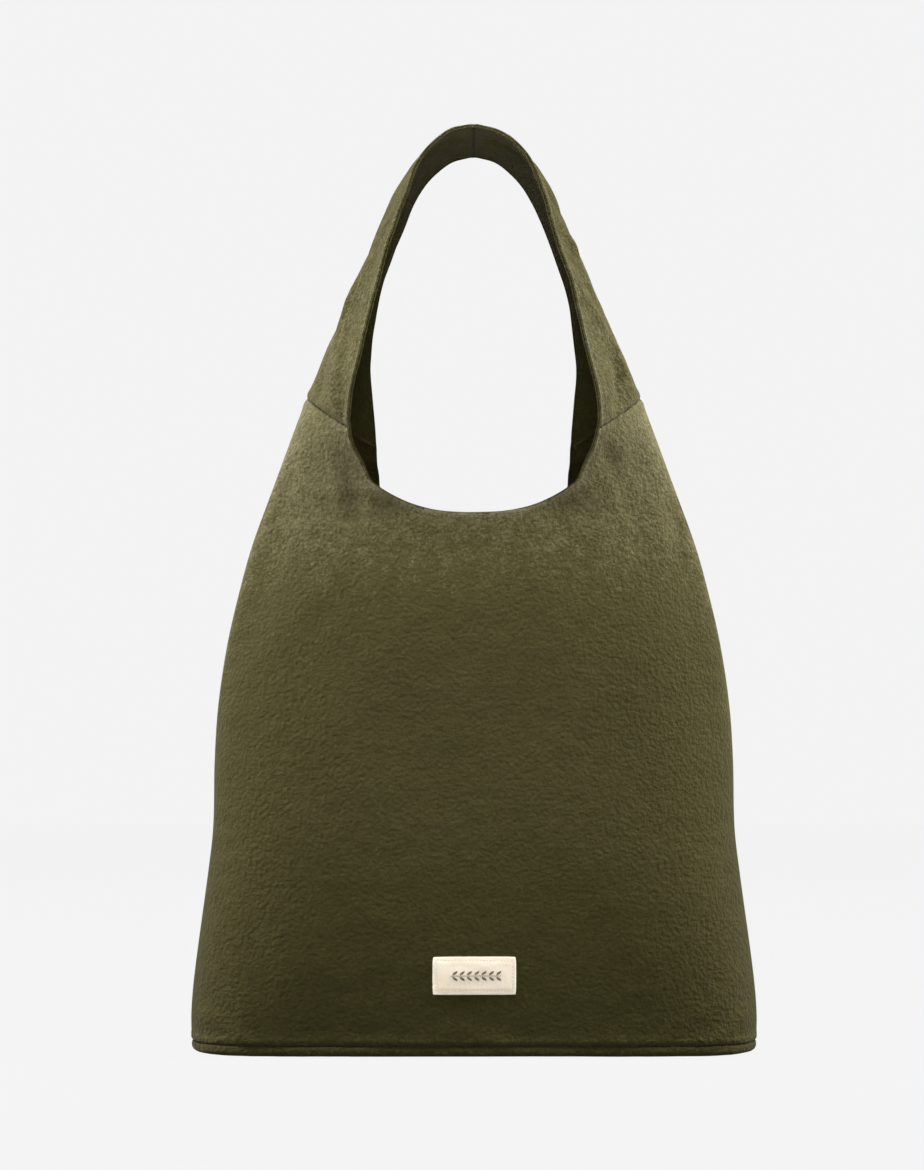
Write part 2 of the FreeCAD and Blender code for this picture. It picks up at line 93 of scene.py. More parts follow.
# SIDE_LAW, RIDGE and the fold depths of FOLD_LAW were found by a least-squares fit of the outline.
# The other rows were given.
SIDE_LAW = [
    (0.0, 0.99), (0.05, 1.0), (0.12, 0.964), (0.3, 0.806), (0.38, 0.748), (0.5, 0.736),
    (0.6, 0.694), (0.71, 0.584), (0.81, 0.428), (0.89, 0.275), (1.0, 0.0),
]
SECTION_LAW = [(0.0, 9.0, 0.5), (0.12, 7.0, 0.52), (0.45, 4.6, 0.62), (0.75, 3.6, 0.8), (1.0, 2.5, 1.0)]
RIDGE = [
    (1.0, 0.0), (0.874, 0.197), (0.769, 0.35), (0.65, 0.508), (0.502, 0.699), (0.366, 0.859),
    (0.271, 0.934), (0.134, 0.989), (0.0, 1.0),
]
FOLD_LAW = [
    (0.0, 71.4, 76.4, 33.0, 33.5), (0.09, 53.0, 66.0, 38.0, 31.0), (0.18, 39.5, 58.0, 43.0, 29.0),
    (0.27, 31.0, 44.5, 46.5, 29.0), (0.37, 26.5, 30.0, 47.5, 31.0), (0.54, 17.5, 14.0, 47.0, 38.0),
    (0.745, 9.0, 8.0, 46.0, 42.0), (0.87, 3.7, 4.5, 45.5, 44.5), (1.0, 0.0, 0.0, 45.0, 45.0),
]
RIDGE_SOFTNESS = 0.35
HORN_TURN = 0.2
LABEL_WIDE, LABEL_TALL, LABEL_HEIGHT = 59.6, 27.0, 58.5
LABEL_CUT = (61.0, 28.0)
WINDOW_LONG, WINDOW_TALL = 160.0, 12.0  # the opening that the inner zip closes
FACING_LONG, FACING_TALL = 182.0, 34.0
TAPE_LONG, TAPE_TALL = 172.0, 13.0


# ---------------------------------------------------------------- shape laws
def law(rows, at, column=1):
    """Cubic through the rows' values whose slopes are those of the chords past each row."""
    table = np.array(rows, float)
    x, y = table[:, 0], table[:, column]
    slope = np.gradient(y)
    slope[1:-1] = (y[2:] - y[:-2]) / (x[2:] - x[:-2])
    slope[0] = (y[1] - y[0]) / (x[1] - x[0])
    slope[-1] = (y[-1] - y[-2]) / (x[-1] - x[-2])
    at = np.clip(at, x[0], x[-1])
    i = np.clip(np.searchsorted(x, at, side="right") - 1, 0, len(x) - 2)
    wide = x[i + 1] - x[i]
    s = (at - x[i]) / wide
    ends = y[i] * (1 + 2 * s) * (1 - s) ** 2 + y[i + 1] * (3 - 2 * s) * s**2
    return ends + wide * (slope[i] * s * (1 - s) ** 2 - slope[i + 1] * (1 - s) * s**2)


def smooth(t):
    t = np.clip(t, 0.0, 1.0)
    return t * t * (3 - 2 * t)


def ridge_line(count=900):
    """The ridge as a fine line: its points joined by cubics over the length of its chords."""
    rows = np.array(RIDGE)
    x = rows[:, 0] * HORN_HALF_WIDTH
    z = HORN_HEIGHT + rows[:, 1] * (STRAP_TOP - HORN_HEIGHT)
    chord = np.concatenate([[0], np.cumsum(np.hypot(np.diff(x), np.diff(z)))])
    table = np.stack([chord, x, z], 1)
    at = np.linspace(0, chord[-1], count)
    x, z = law(table, at, 1), law(table, at, 2)
    share = np.concatenate([[0], np.cumsum(np.hypot(np.diff(x), np.diff(z)))])
    lean = np.unwrap(np.arctan2(-np.gradient(x), np.gradient(z)))
    return share / share[-1], x, z, lean, share[-1]


RIDGE_SHARE, RIDGE_X, RIDGE_Z, RIDGE_LEAN, RIDGE_LENGTH = ridge_line()


def seam_height(q):
    """Height on the ridge of the section that the strap's seam has reached at a share q of the way out."""
    return SEAM_HEIGHT - SEAM_DROP * np.abs(q) ** 1.2


def seam_share(q):
    return np.interp(seam_height(q), RIDGE_Z, RIDGE_SHARE)


def share_up(z):
    return (z - BASE_SEAM) / (HORN_HEIGHT - BASE_SEAM)


def half_width(z):
    side = HORN_HALF_WIDTH + (BASE_HALF - HORN_HALF_WIDTH) * law(SIDE_LAW, share_up(z))
    return np.where(z > HORN_HEIGHT, np.interp(z, RIDGE_Z, RIDGE_X), side)


def half_depth(z):
    mouth = share_up(MOUTH_HEIGHT)
    rise = mouth - 0.34
    rows = [
        (0.0, BASE_DEPTH / 2), (0.15, 0.1 * BASE_DEPTH + 0.4 * BELLY_DEPTH), (0.34, BELLY_DEPTH / 2),
        (0.34 + 0.45 * rise, 0.35 * BELLY_DEPTH + 0.15 * MOUTH_DEPTH),
        (0.34 + 0.75 * rise, 0.2 * BELLY_DEPTH + 0.3 * MOUTH_DEPTH),
        (mouth, MOUTH_DEPTH / 2), (1.0, HORN_DEPTH / 2), (1.15, 0.73 * HORN_DEPTH),
    ]
    return law(rows, share_up(z))


def body_skin(s, z, side):
    """Body section: depth * (1 - |share across| ^ squareness) ^ sharpness, on its side."""
    up = share_up(z)
    square, sharp = law(SECTION_LAW, up, 1), law(SECTION_LAW, up, 2)
    y = half_depth(z) * (1 - np.minimum(np.abs(s), 1) ** square) ** sharp
    return np.stack([half_width(z) * s, side * y, z + 0 * s], -1)


def fold_depth(q, fold):
    """How far the cloth has folded in at a share q of the way out: a hyperbola, round at the ridge."""
    soft = RIDGE_SOFTNESS
    return fold * (np.hypot(q, soft) - soft) / (math.hypot(1, soft) - soft)


def fold_share(depth, fold):
    """The reverse of fold_depth."""
    soft = RIDGE_SOFTNESS
    return np.sqrt((depth / fold * (math.hypot(1, soft) - soft) + soft) ** 2 - soft**2)


def horn_skin(s, z, side):
    """The strap's folded section, carried down: the ridge, and from it inwards, square to it."""
    share = np.where(z > HORN_HEIGHT, np.interp(z, RIDGE_Z, RIDGE_SHARE), 0.0)
    column = 1 if side < 0 else 2
    depth = half_width(z) * (1 - np.abs(s))
    q = fold_share(depth, law(FOLD_LAW, share, column))
    lean = np.interp(share, RIDGE_SHARE, RIDGE_LEAN) * smooth(share / HORN_TURN)
    x = half_width(z) - depth * np.cos(lean)
    return np.stack([np.sign(s) * x, side * q * law(FOLD_LAW, share, column + 2), z - depth * np.sin(lean)], -1)


def horn_turn(z):
    """Share of the change from the body's section to the strap's, which starts just below the horns."""
    return smooth((z - HORN_HEIGHT + 18) / 55)[..., None]


def panel_skin(s, z, side):
    """Body section below, strap section above, with a smooth change at the horns' feet."""
    turn = horn_turn(z)
    return body_skin(s, z, side) * (1 - turn) + horn_skin(s, z, side) * turn


def strap_skin(share, q, side):
    """Strap section: side is -1 for the left half and 1 for the right, q runs front to back."""
    fold = np.where(q < 0, law(FOLD_LAW, share, 1), law(FOLD_LAW, share, 2))
    out = np.where(q < 0, law(FOLD_LAW, share, 3), law(FOLD_LAW, share, 4))
    depth = fold_depth(q, fold)
    lean = np.interp(share, RIDGE_SHARE, RIDGE_LEAN) * smooth(share / HORN_TURN)
    x = np.interp(share, RIDGE_SHARE, RIDGE_X) - depth * np.cos(lean)
    z = np.interp(share, RIDGE_SHARE, RIDGE_Z) - depth * np.sin(lean)
    return np.stack([side * x, out * q, z], -1)


def normals_of(points):
    """Unit normals of a grid of points, from the differences along its rows and columns."""
    across = np.gradient(points, axis=1)
    up = np.gradient(points, axis=0)
    n = np.cross(across, up)
    return n / np.maximum(np.linalg.norm(n, axis=-1, keepdims=True), 1e-9)


# ---------------------------------------------------------------- folds of the cloth
def waves(p, q, seed, count, shortest, longest, height):
    """Sum of sine waves with chance directions; each is as high as it is long, scaled to height."""
    chance = np.random.RandomState(seed)
    total = 0.0
    for _ in range(count):
        length = shortest * (longest / shortest) ** chance.rand()
        turn, start = chance.rand(2) * 2 * math.pi
        phase = (p * math.cos(turn) + q * math.sin(turn)) * 2 * math.pi / length + start
        total = total + length / longest * np.sin(phase)
    return total * height / math.sqrt(count)


def crease(x, z, start, end, wide, high):
    """A soft ridge along a line: a bell across it, fading out at both ends."""
    (x0, z0), (x1, z1) = start, end
    long = math.hypot(x1 - x0, z1 - z0)
    along = ((x - x0) * (x1 - x0) + (z - z0) * (z1 - z0)) / long
    off = ((x - x0) * (z1 - z0) - (z - z0) * (x1 - x0)) / long + 0.06 * long * np.sin(3.1 * along / long)
    past = np.maximum(0, np.maximum(-along, along - long)) / (0.3 * long)
    return high * np.exp(-((off / wide) ** 2) - past**2)


# start and end across and up, width and height of each fold that the cloth has taken
PANEL_CREASES = [
    ((-112, 452), (-100, 385), 6, 1.4), ((-98, 440), (-84, 392), 5, -1.0), ((-128, 440), (-138, 360), 9, 1.2),
    ((-72, 404), (-118, 330), 10, 0.9), ((-140, 400), (-168, 300), 12, -1.3), ((-176, 330), (-190, 200), 14, 1.2),
    ((-60, 380), (-20, 300), 14, -0.8), ((30, 388), (64, 290), 16, 0.9), ((112, 455), (96, 388), 6, 1.3),
    ((100, 436), (120, 372), 6, -1.2), ((126, 452), (138, 380), 8, 1.5), ((92, 400), (58, 362), 7, 0.9),
    ((142, 410), (160, 318), 11, -1.2), ((120, 340), (80, 250), 16, 0.9), ((176, 320), (192, 180), 13, 1.3),
    ((-190, 150), (-150, 60), 13, -1.1), ((-120, 160), (-70, 90), 18, 0.8), ((188, 140), (150, 50), 13, -1.1),
    ((60, 150), (120, 70), 18, 0.7), ((-204, 34), (-168, 14), 5, 1.1), ((204, 36), (170, 14), 5, 1.1),
    ((-200, 52), (-178, 20), 5, -1.3), ((200, 54), (176, 20), 5, -1.3), ((-24, 18), (14, 12), 6, 1.0),
]
# the same along the ridge and across the strap, in millimetres from the seam and from the ridge
STRAP_CREASES = {
    -1: [((4, -44), (78, -14), 4.5, 1.5), ((2, -26), (60, -4), 4.5, -1.3), ((30, -36), (120, -26), 5, 1.2),
         ((60, -20), (150, -34), 5, -0.9), ((10, 20), (90, 40), 6, 1.2), ((120, -20), (220, -12), 7, 0.9)],
    1: [((6, -18), (88, -36), 5, 1.6), ((0, -38), (70, -22), 4.5, -1.3), ((44, -22), (140, -34), 5, 1.3),
        ((90, -14), (180, -30), 5, -1.1), ((12, 30), (96, 14), 6, 1.2), ((130, -30), (230, -8), 6, 1.1)],
}


def panel_folds(x, z, s, side):
    """Height of the folds on a panel, none at the side seams."""
    mirror = 1 if side < 0 else -1
    total = waves(x, 0.6 * z, 11 + side, 22, 40, 190, 1.0) + waves(x, z, 31 + side, 26, 9, 34, 0.22)
    for start, end, wide, high in PANEL_CREASES:
        total = total + crease(mirror * x, z, start, end, wide, 0.9 * high)
    ripple = 0.5 * np.sin(z / 4.1 + 2 * np.sin(z / 23)) * np.exp(-(((1 - np.abs(s)) * 190 - 9) / 8) ** 2)
    return (total + ripple) * smooth((1 - np.abs(s)) * 14)


def strap_folds(along, across, side):
    total = waves(along, across, 51 + side, 22, 26, 120, 0.9) + waves(along, across, 71 + side, 26, 8, 30, 0.24)
    for start, end, wide, high in STRAP_CREASES[side]:
        total = total + crease(along, across, start, end, wide, 2.3 * high)
    return total


# ---------------------------------------------------------------- meshes
def add_object(name, data):
    made = bpy.data.objects.new(name, data)
    bpy.context.scene.collection.objects.link(made)
    return made


def new_piece(name, points, faces, material, uv=None, wear_and_painted_light=None):
    """Mesh object from points in millimetres, with its corner UVs and, in an attribute, its lift of real wear and
    painted light.
    """
    mesh = bpy.data.meshes.new(name)
    mesh.from_pydata((np.asarray(points) * MM).tolist(), [], faces if isinstance(faces, list) else faces.tolist())
    mesh.polygons.foreach_set("use_smooth", np.ones(len(mesh.polygons), bool))
    if uv is not None:
        layer = mesh.uv_layers.new(name="UVMap")
        corners = np.zeros(len(mesh.loops), np.int32)
        mesh.loops.foreach_get("vertex_index", corners)
        layer.data.foreach_set("uv", (np.asarray(uv) * MM)[corners].astype(np.float32).ravel())
    if wear_and_painted_light is not None:
        mesh.attributes.new("wear_and_painted_light", "FLOAT", "POINT").data.foreach_set("value", np.asarray(wear_and_painted_light, np.float32))
    mesh.materials.append(material)
    piece = add_object(name, mesh)
    return piece


def grid_faces(here):
    """Quads of a grid whose missing places are False in the mask here."""
    number = np.where(here, np.cumsum(here).reshape(here.shape) - 1, -1)
    quads = np.stack([number[:-1, :-1], number[:-1, 1:], number[1:, 1:], number[1:, :-1]], -1).reshape(-1, 4)
    return quads[(quads >= 0).all(1)]


def grid_uv(points):
    """Distances along the rows and columns, so that the weave keeps its size."""
    across = np.linalg.norm(np.diff(points, axis=1), axis=2).cumsum(1)
    across = np.pad(across, ((0, 0), (1, 0)))
    up = np.pad(np.linalg.norm(np.diff(points, axis=0), axis=2).cumsum(0), ((1, 0), (0, 0)))
    middle = points.shape[1] // 2
    return np.stack([across - across[:, middle:middle + 1], up + 0 * across], -1)


def closed_ring_faces(rings):
    """Quads between closed rings, each of them one row of the array."""
    count = rings.shape[1]
    quads = grid_faces(np.ones((rings.shape[0], count + 1), bool))
    return (quads % (count + 1) % count + quads // (count + 1) * count)[:, ::-1]


def tube_faces(rows, sides):
    """Quads of a tube with this many rings and this many points on each ring."""
    i = np.arange((rows - 1) * sides)
    ring, k = i // sides * sides, i % sides
    return np.stack([ring + k, ring + (k + 1) % sides, ring + sides + (k + 1) % sides, ring + sides + k], 1)


def length_along(path):
    return np.concatenate([[0], np.linalg.norm(np.diff(path, axis=0), axis=1).cumsum()])


def read_at(where, along, rows):
    """Rows of three values read at places along a path."""
    return np.stack([np.interp(where, along, rows[:, k]) for k in range(3)], 1)


def unit(rows):
    return rows / np.linalg.norm(rows, axis=1, keepdims=True)


def nearest(points, line):
    """Distance from each point to the nearest point of a line, and that point's number."""
    found = []
    for part in np.array_split(points.astype(np.float32), max(1, len(points) // 4000)):
        found.append(((part[:, None, :] - line[None].astype(np.float32)) ** 2).sum(2))
    square = np.concatenate([f.min(1) for f in found])
    number = np.concatenate([f.argmin(1) for f in found])
    return np.sqrt(square), number


def solidify(piece, thickness):
    """Gives a cloth surface its thickness, on the side away from its normals."""
    wall = piece.modifiers.new("thickness", "SOLIDIFY")
    wall.thickness = thickness * MM
    wall.offset = -1
    wall.use_rim = True
    return piece


def evenly(path, pitch):
    """Points along a path at an even pitch."""
    along = length_along(path)
    at = np.linspace(0, along[-1], max(2, int(along[-1] / pitch)) + 1)
    return read_at(at, along, path), at


def tube(path, radius, sides=8):
    """Round bead along a path: a circle square to the path at each point, closed at its ends."""
    tangent = unit(np.gradient(path, axis=0))
    aside = unit(np.cross(tangent, np.array([0.13, 1.0, 0.07])))
    over = np.cross(tangent, aside)
    turn = np.linspace(0, 2 * math.pi, sides, endpoint=False)
    radius = np.broadcast_to(np.asarray(radius, float), (len(path),))[:, None, None]
    rings = path[:, None] + radius * (np.cos(turn)[None, :, None] * aside[:, None]
                                      + np.sin(turn)[None, :, None] * over[:, None])
    last = (len(path) - 1) * sides
    caps = [list(range(sides))[::-1], [last + k for k in range(sides)]]
    return rings.reshape(-1, 3), tube_faces(len(path), sides).tolist() + caps


def stitches(path, normals, pitch, long, radius):
    """Thread dashes along a path: one rounded template set down at every pitch, pulled into the cloth
    at both ends."""
    along = length_along(path)
    middle = np.arange(0.5 * pitch, along[-1] - 0.5 * pitch, pitch)
    chance = np.random.RandomState(len(middle))
    centre, normal = read_at(middle, along, path), unit(read_at(middle, along, normals))
    ahead = unit(read_at(middle + 0.4 * pitch, along, path) - read_at(middle - 0.4 * pitch, along, path))
    aside = np.cross(normal, ahead)
    rows, sides = 7, 6
    t = np.linspace(-1, 1, rows)
    turn = np.linspace(0, 2 * math.pi, sides, endpoint=False)
    width = radius * np.sqrt(np.clip(1.02 - t**4, 0.02, 1))
    stretch = (0.5 * long * (1 + 0.12 * chance.randn(len(middle))))[:, None, None, None]
    lean = (0.10 * chance.randn(len(middle)))[:, None, None, None]
    shape = (t[None, :, None, None] * stretch * (ahead[:, None, None] + lean * aside[:, None, None])
             + (width[:, None] * np.cos(turn))[None, :, :, None] * aside[:, None, None]
             + ((width[:, None] * np.sin(turn)) - 0.9 * radius * t[:, None] ** 4)[None, :, :, None]
             * normal[:, None, None])
    points = (centre[:, None, None] + shape + 0.25 * radius * normal[:, None, None]).reshape(-1, 3)
    each = rows * sides
    ends = np.array([[0, 1, 2, 3], [0, 3, 4, 5]])
    ends = np.concatenate([ends[:, ::-1], ends + (rows - 1) * sides])
    one = np.concatenate([tube_faces(rows, sides), ends])
    faces = (one[None] + each * np.arange(len(middle))[:, None, None]).reshape(-1, 4)
    return points, faces


# ---------------------------------------------------------------- materials
def srgb(red, green, blue):
    """Colour as a screen shows it, from 0 to 255, to the light values that shaders use."""
    levels = np.array([red, green, blue]) / 255
    linear = np.where(levels <= 0.04045, levels / 12.92, ((levels + 0.055) / 1.055) ** 2.4)
    return (*linear, 1.0)


def group_socket(group, name, direction, kind="NodeSocketFloat", value=None):
    made = group.interface.new_socket(name=name, in_out=direction, socket_type=kind)
    if value is not None:
        made.default_value = value
    return made


class Wires:
    """Short ways to add and join a tree's nodes."""

    def __init__(self, tree):
        self.tree = tree

    def node(self, kind, **settings):
        made = self.tree.nodes.new(kind)
        for name, value in settings.items():
            if hasattr(made, name):
                setattr(made, name, value)
            else:
                made.inputs[name.replace("_", " ")].default_value = value
        return made

    def join(self, source, target):
        self.tree.links.new(source, target)

    def math(self, operation, first, second=None, third=None):
        made = self.tree.nodes.new("ShaderNodeMath")
        made.operation = operation
        for socket, value in zip(made.inputs, (first, second, third)):
            self.feed(socket, value)
        return made.outputs[0]

    def feed(self, socket, value):
        if isinstance(value, bpy.types.NodeSocket):
            self.join(value, socket)
        elif value is not None:
            socket.default_value = value

    def mix(self, factor, first, second):
        made = self.tree.nodes.new("ShaderNodeMix")
        made.data_type = "RGBA"
        self.feed(made.inputs["Factor"], factor)
        self.feed(made.inputs["A"], first)
        self.feed(made.inputs["B"], second)
        return made.outputs["Result"]

    def noise(self, vector, scale, detail=3.0, roughness=0.55):
        made = self.tree.nodes.new("ShaderNodeTexNoise")
        self.feed(made.inputs["Vector"], vector)
        made.inputs["Scale"].default_value = scale
        made.inputs["Detail"].default_value = detail
        made.inputs["Roughness"].default_value = roughness
        return made.outputs["Fac"]

    def bump(self, height, strength, distance, under=None):
        """Normal raised by a height, on top of another normal where one is given."""
        made = self.tree.nodes.new("ShaderNodeBump")
        made.inputs["Strength"].default_value = strength
        made.inputs["Distance"].default_value = distance
        self.feed(made.inputs["Height"], height)
        self.feed(made.inputs["Normal"], under)
        return made.outputs["Normal"]

    def stretched(self, vector, scale):
        made = self.tree.nodes.new("ShaderNodeMapping")
        made.inputs["Scale"].default_value = scale
        self.feed(made.inputs["Vector"], vector)
        return made.outputs[0]

    def spread(self, value, low, high):
        """Value moved from low..high to 0..1, and held there."""
        made = self.tree.nodes.new("ShaderNodeMapRange")
        self.feed(made.inputs["Value"], value)
        made.inputs["From Min"].default_value = low
        made.inputs["From Max"].default_value = high
        return made.outputs["Result"]


def weave_group():
    """Plain weave: warp and weft as two crossed waves, each strand bulging where it lies on top, with
    strands of uneven thickness. Puts out height, and the share of each place that slubs cover."""
    group = bpy.data.node_groups.new("plain_weave", "ShaderNodeTree")
    group_socket(group, "Vector", "INPUT", "NodeSocketVector")
    group_socket(group, "Threads per metre", "INPUT", value=1300.0)
    group_socket(group, "Height", "OUTPUT")
    group_socket(group, "Slub", "OUTPUT")
    w = Wires(group)
    enter, leave = w.node("NodeGroupInput"), w.node("NodeGroupOutput")
    place = w.node("ShaderNodeSeparateXYZ")
    w.join(enter.outputs["Vector"], place.inputs[0])
    wobble = w.noise(enter.outputs["Vector"], 60.0, 2.0)
    sway = w.math("MULTIPLY_ADD", wobble, 0.0016, -0.0008)
    turn = w.math("MULTIPLY", enter.outputs["Threads per metre"], math.pi)
    across = w.math("MULTIPLY", w.math("ADD", place.outputs[0], sway), turn)
    along = w.math("MULTIPLY", w.math("ADD", place.outputs[1], sway), turn)
    warp = w.math("ABSOLUTE", w.math("SINE", across))
    weft = w.math("ABSOLUTE", w.math("SINE", along))
    over = w.math("MULTIPLY", w.math("COSINE", across), w.math("COSINE", along))
    top = w.math("MULTIPLY_ADD", over, 0.35, w.math("MULTIPLY", w.math("ADD", warp, weft), 0.4))
    upright, level = (
        w.spread(w.noise(w.stretched(enter.outputs["Vector"], scale), 700.0, 2.0), 0.56, 0.72)
        for scale in ((1.0, 0.16, 1.0), (0.16, 1.0, 1.0)))
    slub = w.math("MAXIMUM", upright, level)
    w.join(w.math("MULTIPLY_ADD", slub, 0.45, top), leave.inputs["Height"])
    w.join(slub, leave.inputs["Slub"])
    return group


def wash_group():
    """Garment-wash mottling: cloudy fading, finer blotches and short light fibres, and a lift from the wear input,
    which holds lighter worn edges and painted light.
    """
    group = bpy.data.node_groups.new("wash_fade", "ShaderNodeTree")
    for name in ("Deep", "Middle", "Faded"):
        group_socket(group, name, "INPUT", "NodeSocketColor")
    group_socket(group, "Place", "INPUT", "NodeSocketVector")
    group_socket(group, "Slub", "INPUT")
    group_socket(group, "Wear and painted light", "INPUT")
    group_socket(group, "Color", "OUTPUT", "NodeSocketColor")
    group_socket(group, "Fade", "OUTPUT")
    w = Wires(group)
    enter, leave = w.node("NodeGroupInput"), w.node("NodeGroupOutput")
    place = enter.outputs["Place"]
    cloud = w.spread(w.noise(place, 11.0, 3.0, 0.5), 0.3, 0.7)
    blotch = w.spread(w.noise(place, 120.0, 4.0, 0.6), 0.32, 0.7)
    speck = w.spread(w.noise(place, 520.0, 3.0, 0.65), 0.34, 0.68)
    lift = w.math("MULTIPLY_ADD", blotch, 0.16, w.math("MULTIPLY", cloud, 0.05))
    lift = w.math("MULTIPLY_ADD", speck, 0.22, w.math("ADD", lift, 0.14))
    lift = w.math("MULTIPLY_ADD", enter.outputs["Slub"], 0.1, lift)
    lift = w.math("MULTIPLY_ADD", enter.outputs["Wear and painted light"], 0.5, lift)
    low = w.mix(w.spread(lift, 0.0, 0.5), enter.outputs["Deep"], enter.outputs["Middle"])
    color = w.mix(w.spread(lift, 0.5, 1.25), low, enter.outputs["Faded"])
    w.join(color, leave.inputs["Color"])
    w.join(w.spread(lift, 0.1, 1.2), leave.inputs["Fade"])
    return group


WEAVE, WASH = weave_group(), wash_group()


def new_material(name):
    """Node material, with its wires, its shader and its texture coordinates."""
    material = bpy.data.materials.new(name)
    material.use_nodes = True
    w = Wires(material.node_tree)
    return material, w, material.node_tree.nodes["Principled BSDF"], w.node("ShaderNodeTexCoord")


def cloth_material(name, deep, middle, faded, threads=1300.0, bump=0.35, sheen=0.14, pebble=0.8,
                   rough=(0.82, 0.95)):
    """Woven cotton: weave height on the piece's own UVs, wash mottling in object space, and lighter cloth where the
    wear attribute holds worn edges and painted light.
    """
    material, w, shader, spot = new_material(name)
    weave = w.node("ShaderNodeGroup", node_tree=WEAVE)
    weave.inputs["Threads per metre"].default_value = threads
    w.join(spot.outputs["UV"], weave.inputs["Vector"])
    wear_and_painted_light = w.node("ShaderNodeAttribute", attribute_name="wear_and_painted_light")
    wash = w.node("ShaderNodeGroup", node_tree=WASH)
    for socket, color in (("Deep", deep), ("Middle", middle), ("Faded", faded)):
        wash.inputs[socket].default_value = color
    w.join(spot.outputs["Object"], wash.inputs["Place"])
    w.join(weave.outputs["Slub"], wash.inputs["Slub"])
    w.join(wear_and_painted_light.outputs["Fac"], wash.inputs["Wear and painted light"])
    w.join(wash.outputs["Color"], shader.inputs["Base Color"])
    w.join(w.math("MULTIPLY_ADD", wash.outputs["Fade"], rough[1] - rough[0], rough[0]), shader.inputs["Roughness"])
    crinkle = w.noise(spot.outputs["Object"], 330.0, 3.0, 0.55)
    raised = w.bump(weave.outputs["Height"], bump, 0.0006)
    w.join(w.bump(crinkle, pebble, 0.0032, raised), shader.inputs["Normal"])
    shader.inputs["Sheen Weight"].default_value = sheen
    shader.inputs["Sheen Roughness"].default_value = 0.32
    shader.inputs["Sheen Tint"].default_value = (0.62, 0.6, 0.52, 1.0)
    shader.inputs["Specular IOR Level"].default_value = 0.1
    return material


def thread_material(name, color):
    """Sewing thread: fine twist as a diagonal wave."""
    material, w, shader, spot = new_material(name)
    tint = w.spread(w.noise(spot.outputs["Object"], 800.0, 2.0), 0.3, 0.7)
    dark = tuple(0.72 * c for c in color[:3]) + (1.0,)
    w.join(w.mix(tint, dark, color), shader.inputs["Base Color"])
    twist = w.node("ShaderNodeTexWave", wave_type="BANDS", bands_direction="DIAGONAL")
    twist.inputs["Scale"].default_value = 900.0
    w.join(spot.outputs["Object"], twist.inputs["Vector"])
    w.join(w.bump(twist.outputs["Fac"], 0.4, 0.0002), shader.inputs["Normal"])
    shader.inputs["Roughness"].default_value = 0.7
    shader.inputs["Sheen Weight"].default_value = 0.3
    return material


def metal_material(name, color, dark, rough):
    """Antique plated metal: tarnish in soft clouds and fine scratches in its roughness."""
    material, w, shader, spot = new_material(name)
    tarnish = w.spread(w.noise(spot.outputs["Object"], 240.0, 5.0, 0.65), 0.4, 0.66)
    w.join(w.mix(tarnish, color, dark), shader.inputs["Base Color"])
    scratch = w.noise(spot.outputs["Object"], 1500.0, 3.0, 0.7)
    w.join(w.math("MULTIPLY_ADD", scratch, 0.25, rough), shader.inputs["Roughness"])
    w.join(w.bump(scratch, 0.12, 0.0002), shader.inputs["Normal"])
    shader.inputs["Metallic"].default_value = 1.0
    return material


CANVAS_CLOTH = cloth_material("washed_olive_canvas", srgb(42, 38, 12), srgb(60, 56, 27), srgb(126, 120, 92))
INSIDE_CLOTH = cloth_material(
    "olive_lining", srgb(34, 30, 8), srgb(46, 41, 16), srgb(68, 62, 36), 1700.0, 0.25, 0.05)
# The facing's range from deep to faded carries painted light towards the strap's top and painted shade lower down.
FACING_CLOTH = cloth_material("strap_facing_cloth", srgb(34, 31, 8), srgb(54, 50, 20), srgb(112, 104, 66), sheen=0.1)
LABEL_CLOTH = cloth_material(
    "cream_label", srgb(247, 232, 208), srgb(253, 241, 219), srgb(254, 246, 230), 2600.0, 0.2, 0.1, 0.15)
FELT = cloth_material("grey_felt", srgb(110, 108, 100), srgb(140, 138, 130), srgb(170, 168, 160), 600.0, 0.1)
TAPE = cloth_material("zip_tape_cloth", srgb(36, 33, 16), srgb(50, 46, 24), srgb(76, 71, 48), 2200.0, 0.4)
CANVAS_THREAD = thread_material("olive_thread", srgb(78, 73, 46))
LABEL_THREAD = thread_material("cream_thread", srgb(232, 222, 205))
MOTIF_THREAD = thread_material("motif_thread", srgb(112, 104, 80))
OLD_BRASS = metal_material("antique_brass", srgb(168, 138, 92), srgb(84, 68, 44), 0.24)


# ---------------------------------------------------------------- panels
SIDE_COLUMNS, MIDDLE_COLUMNS, LOW_ROWS, HORN_ROWS = 56, 84, 150, 34


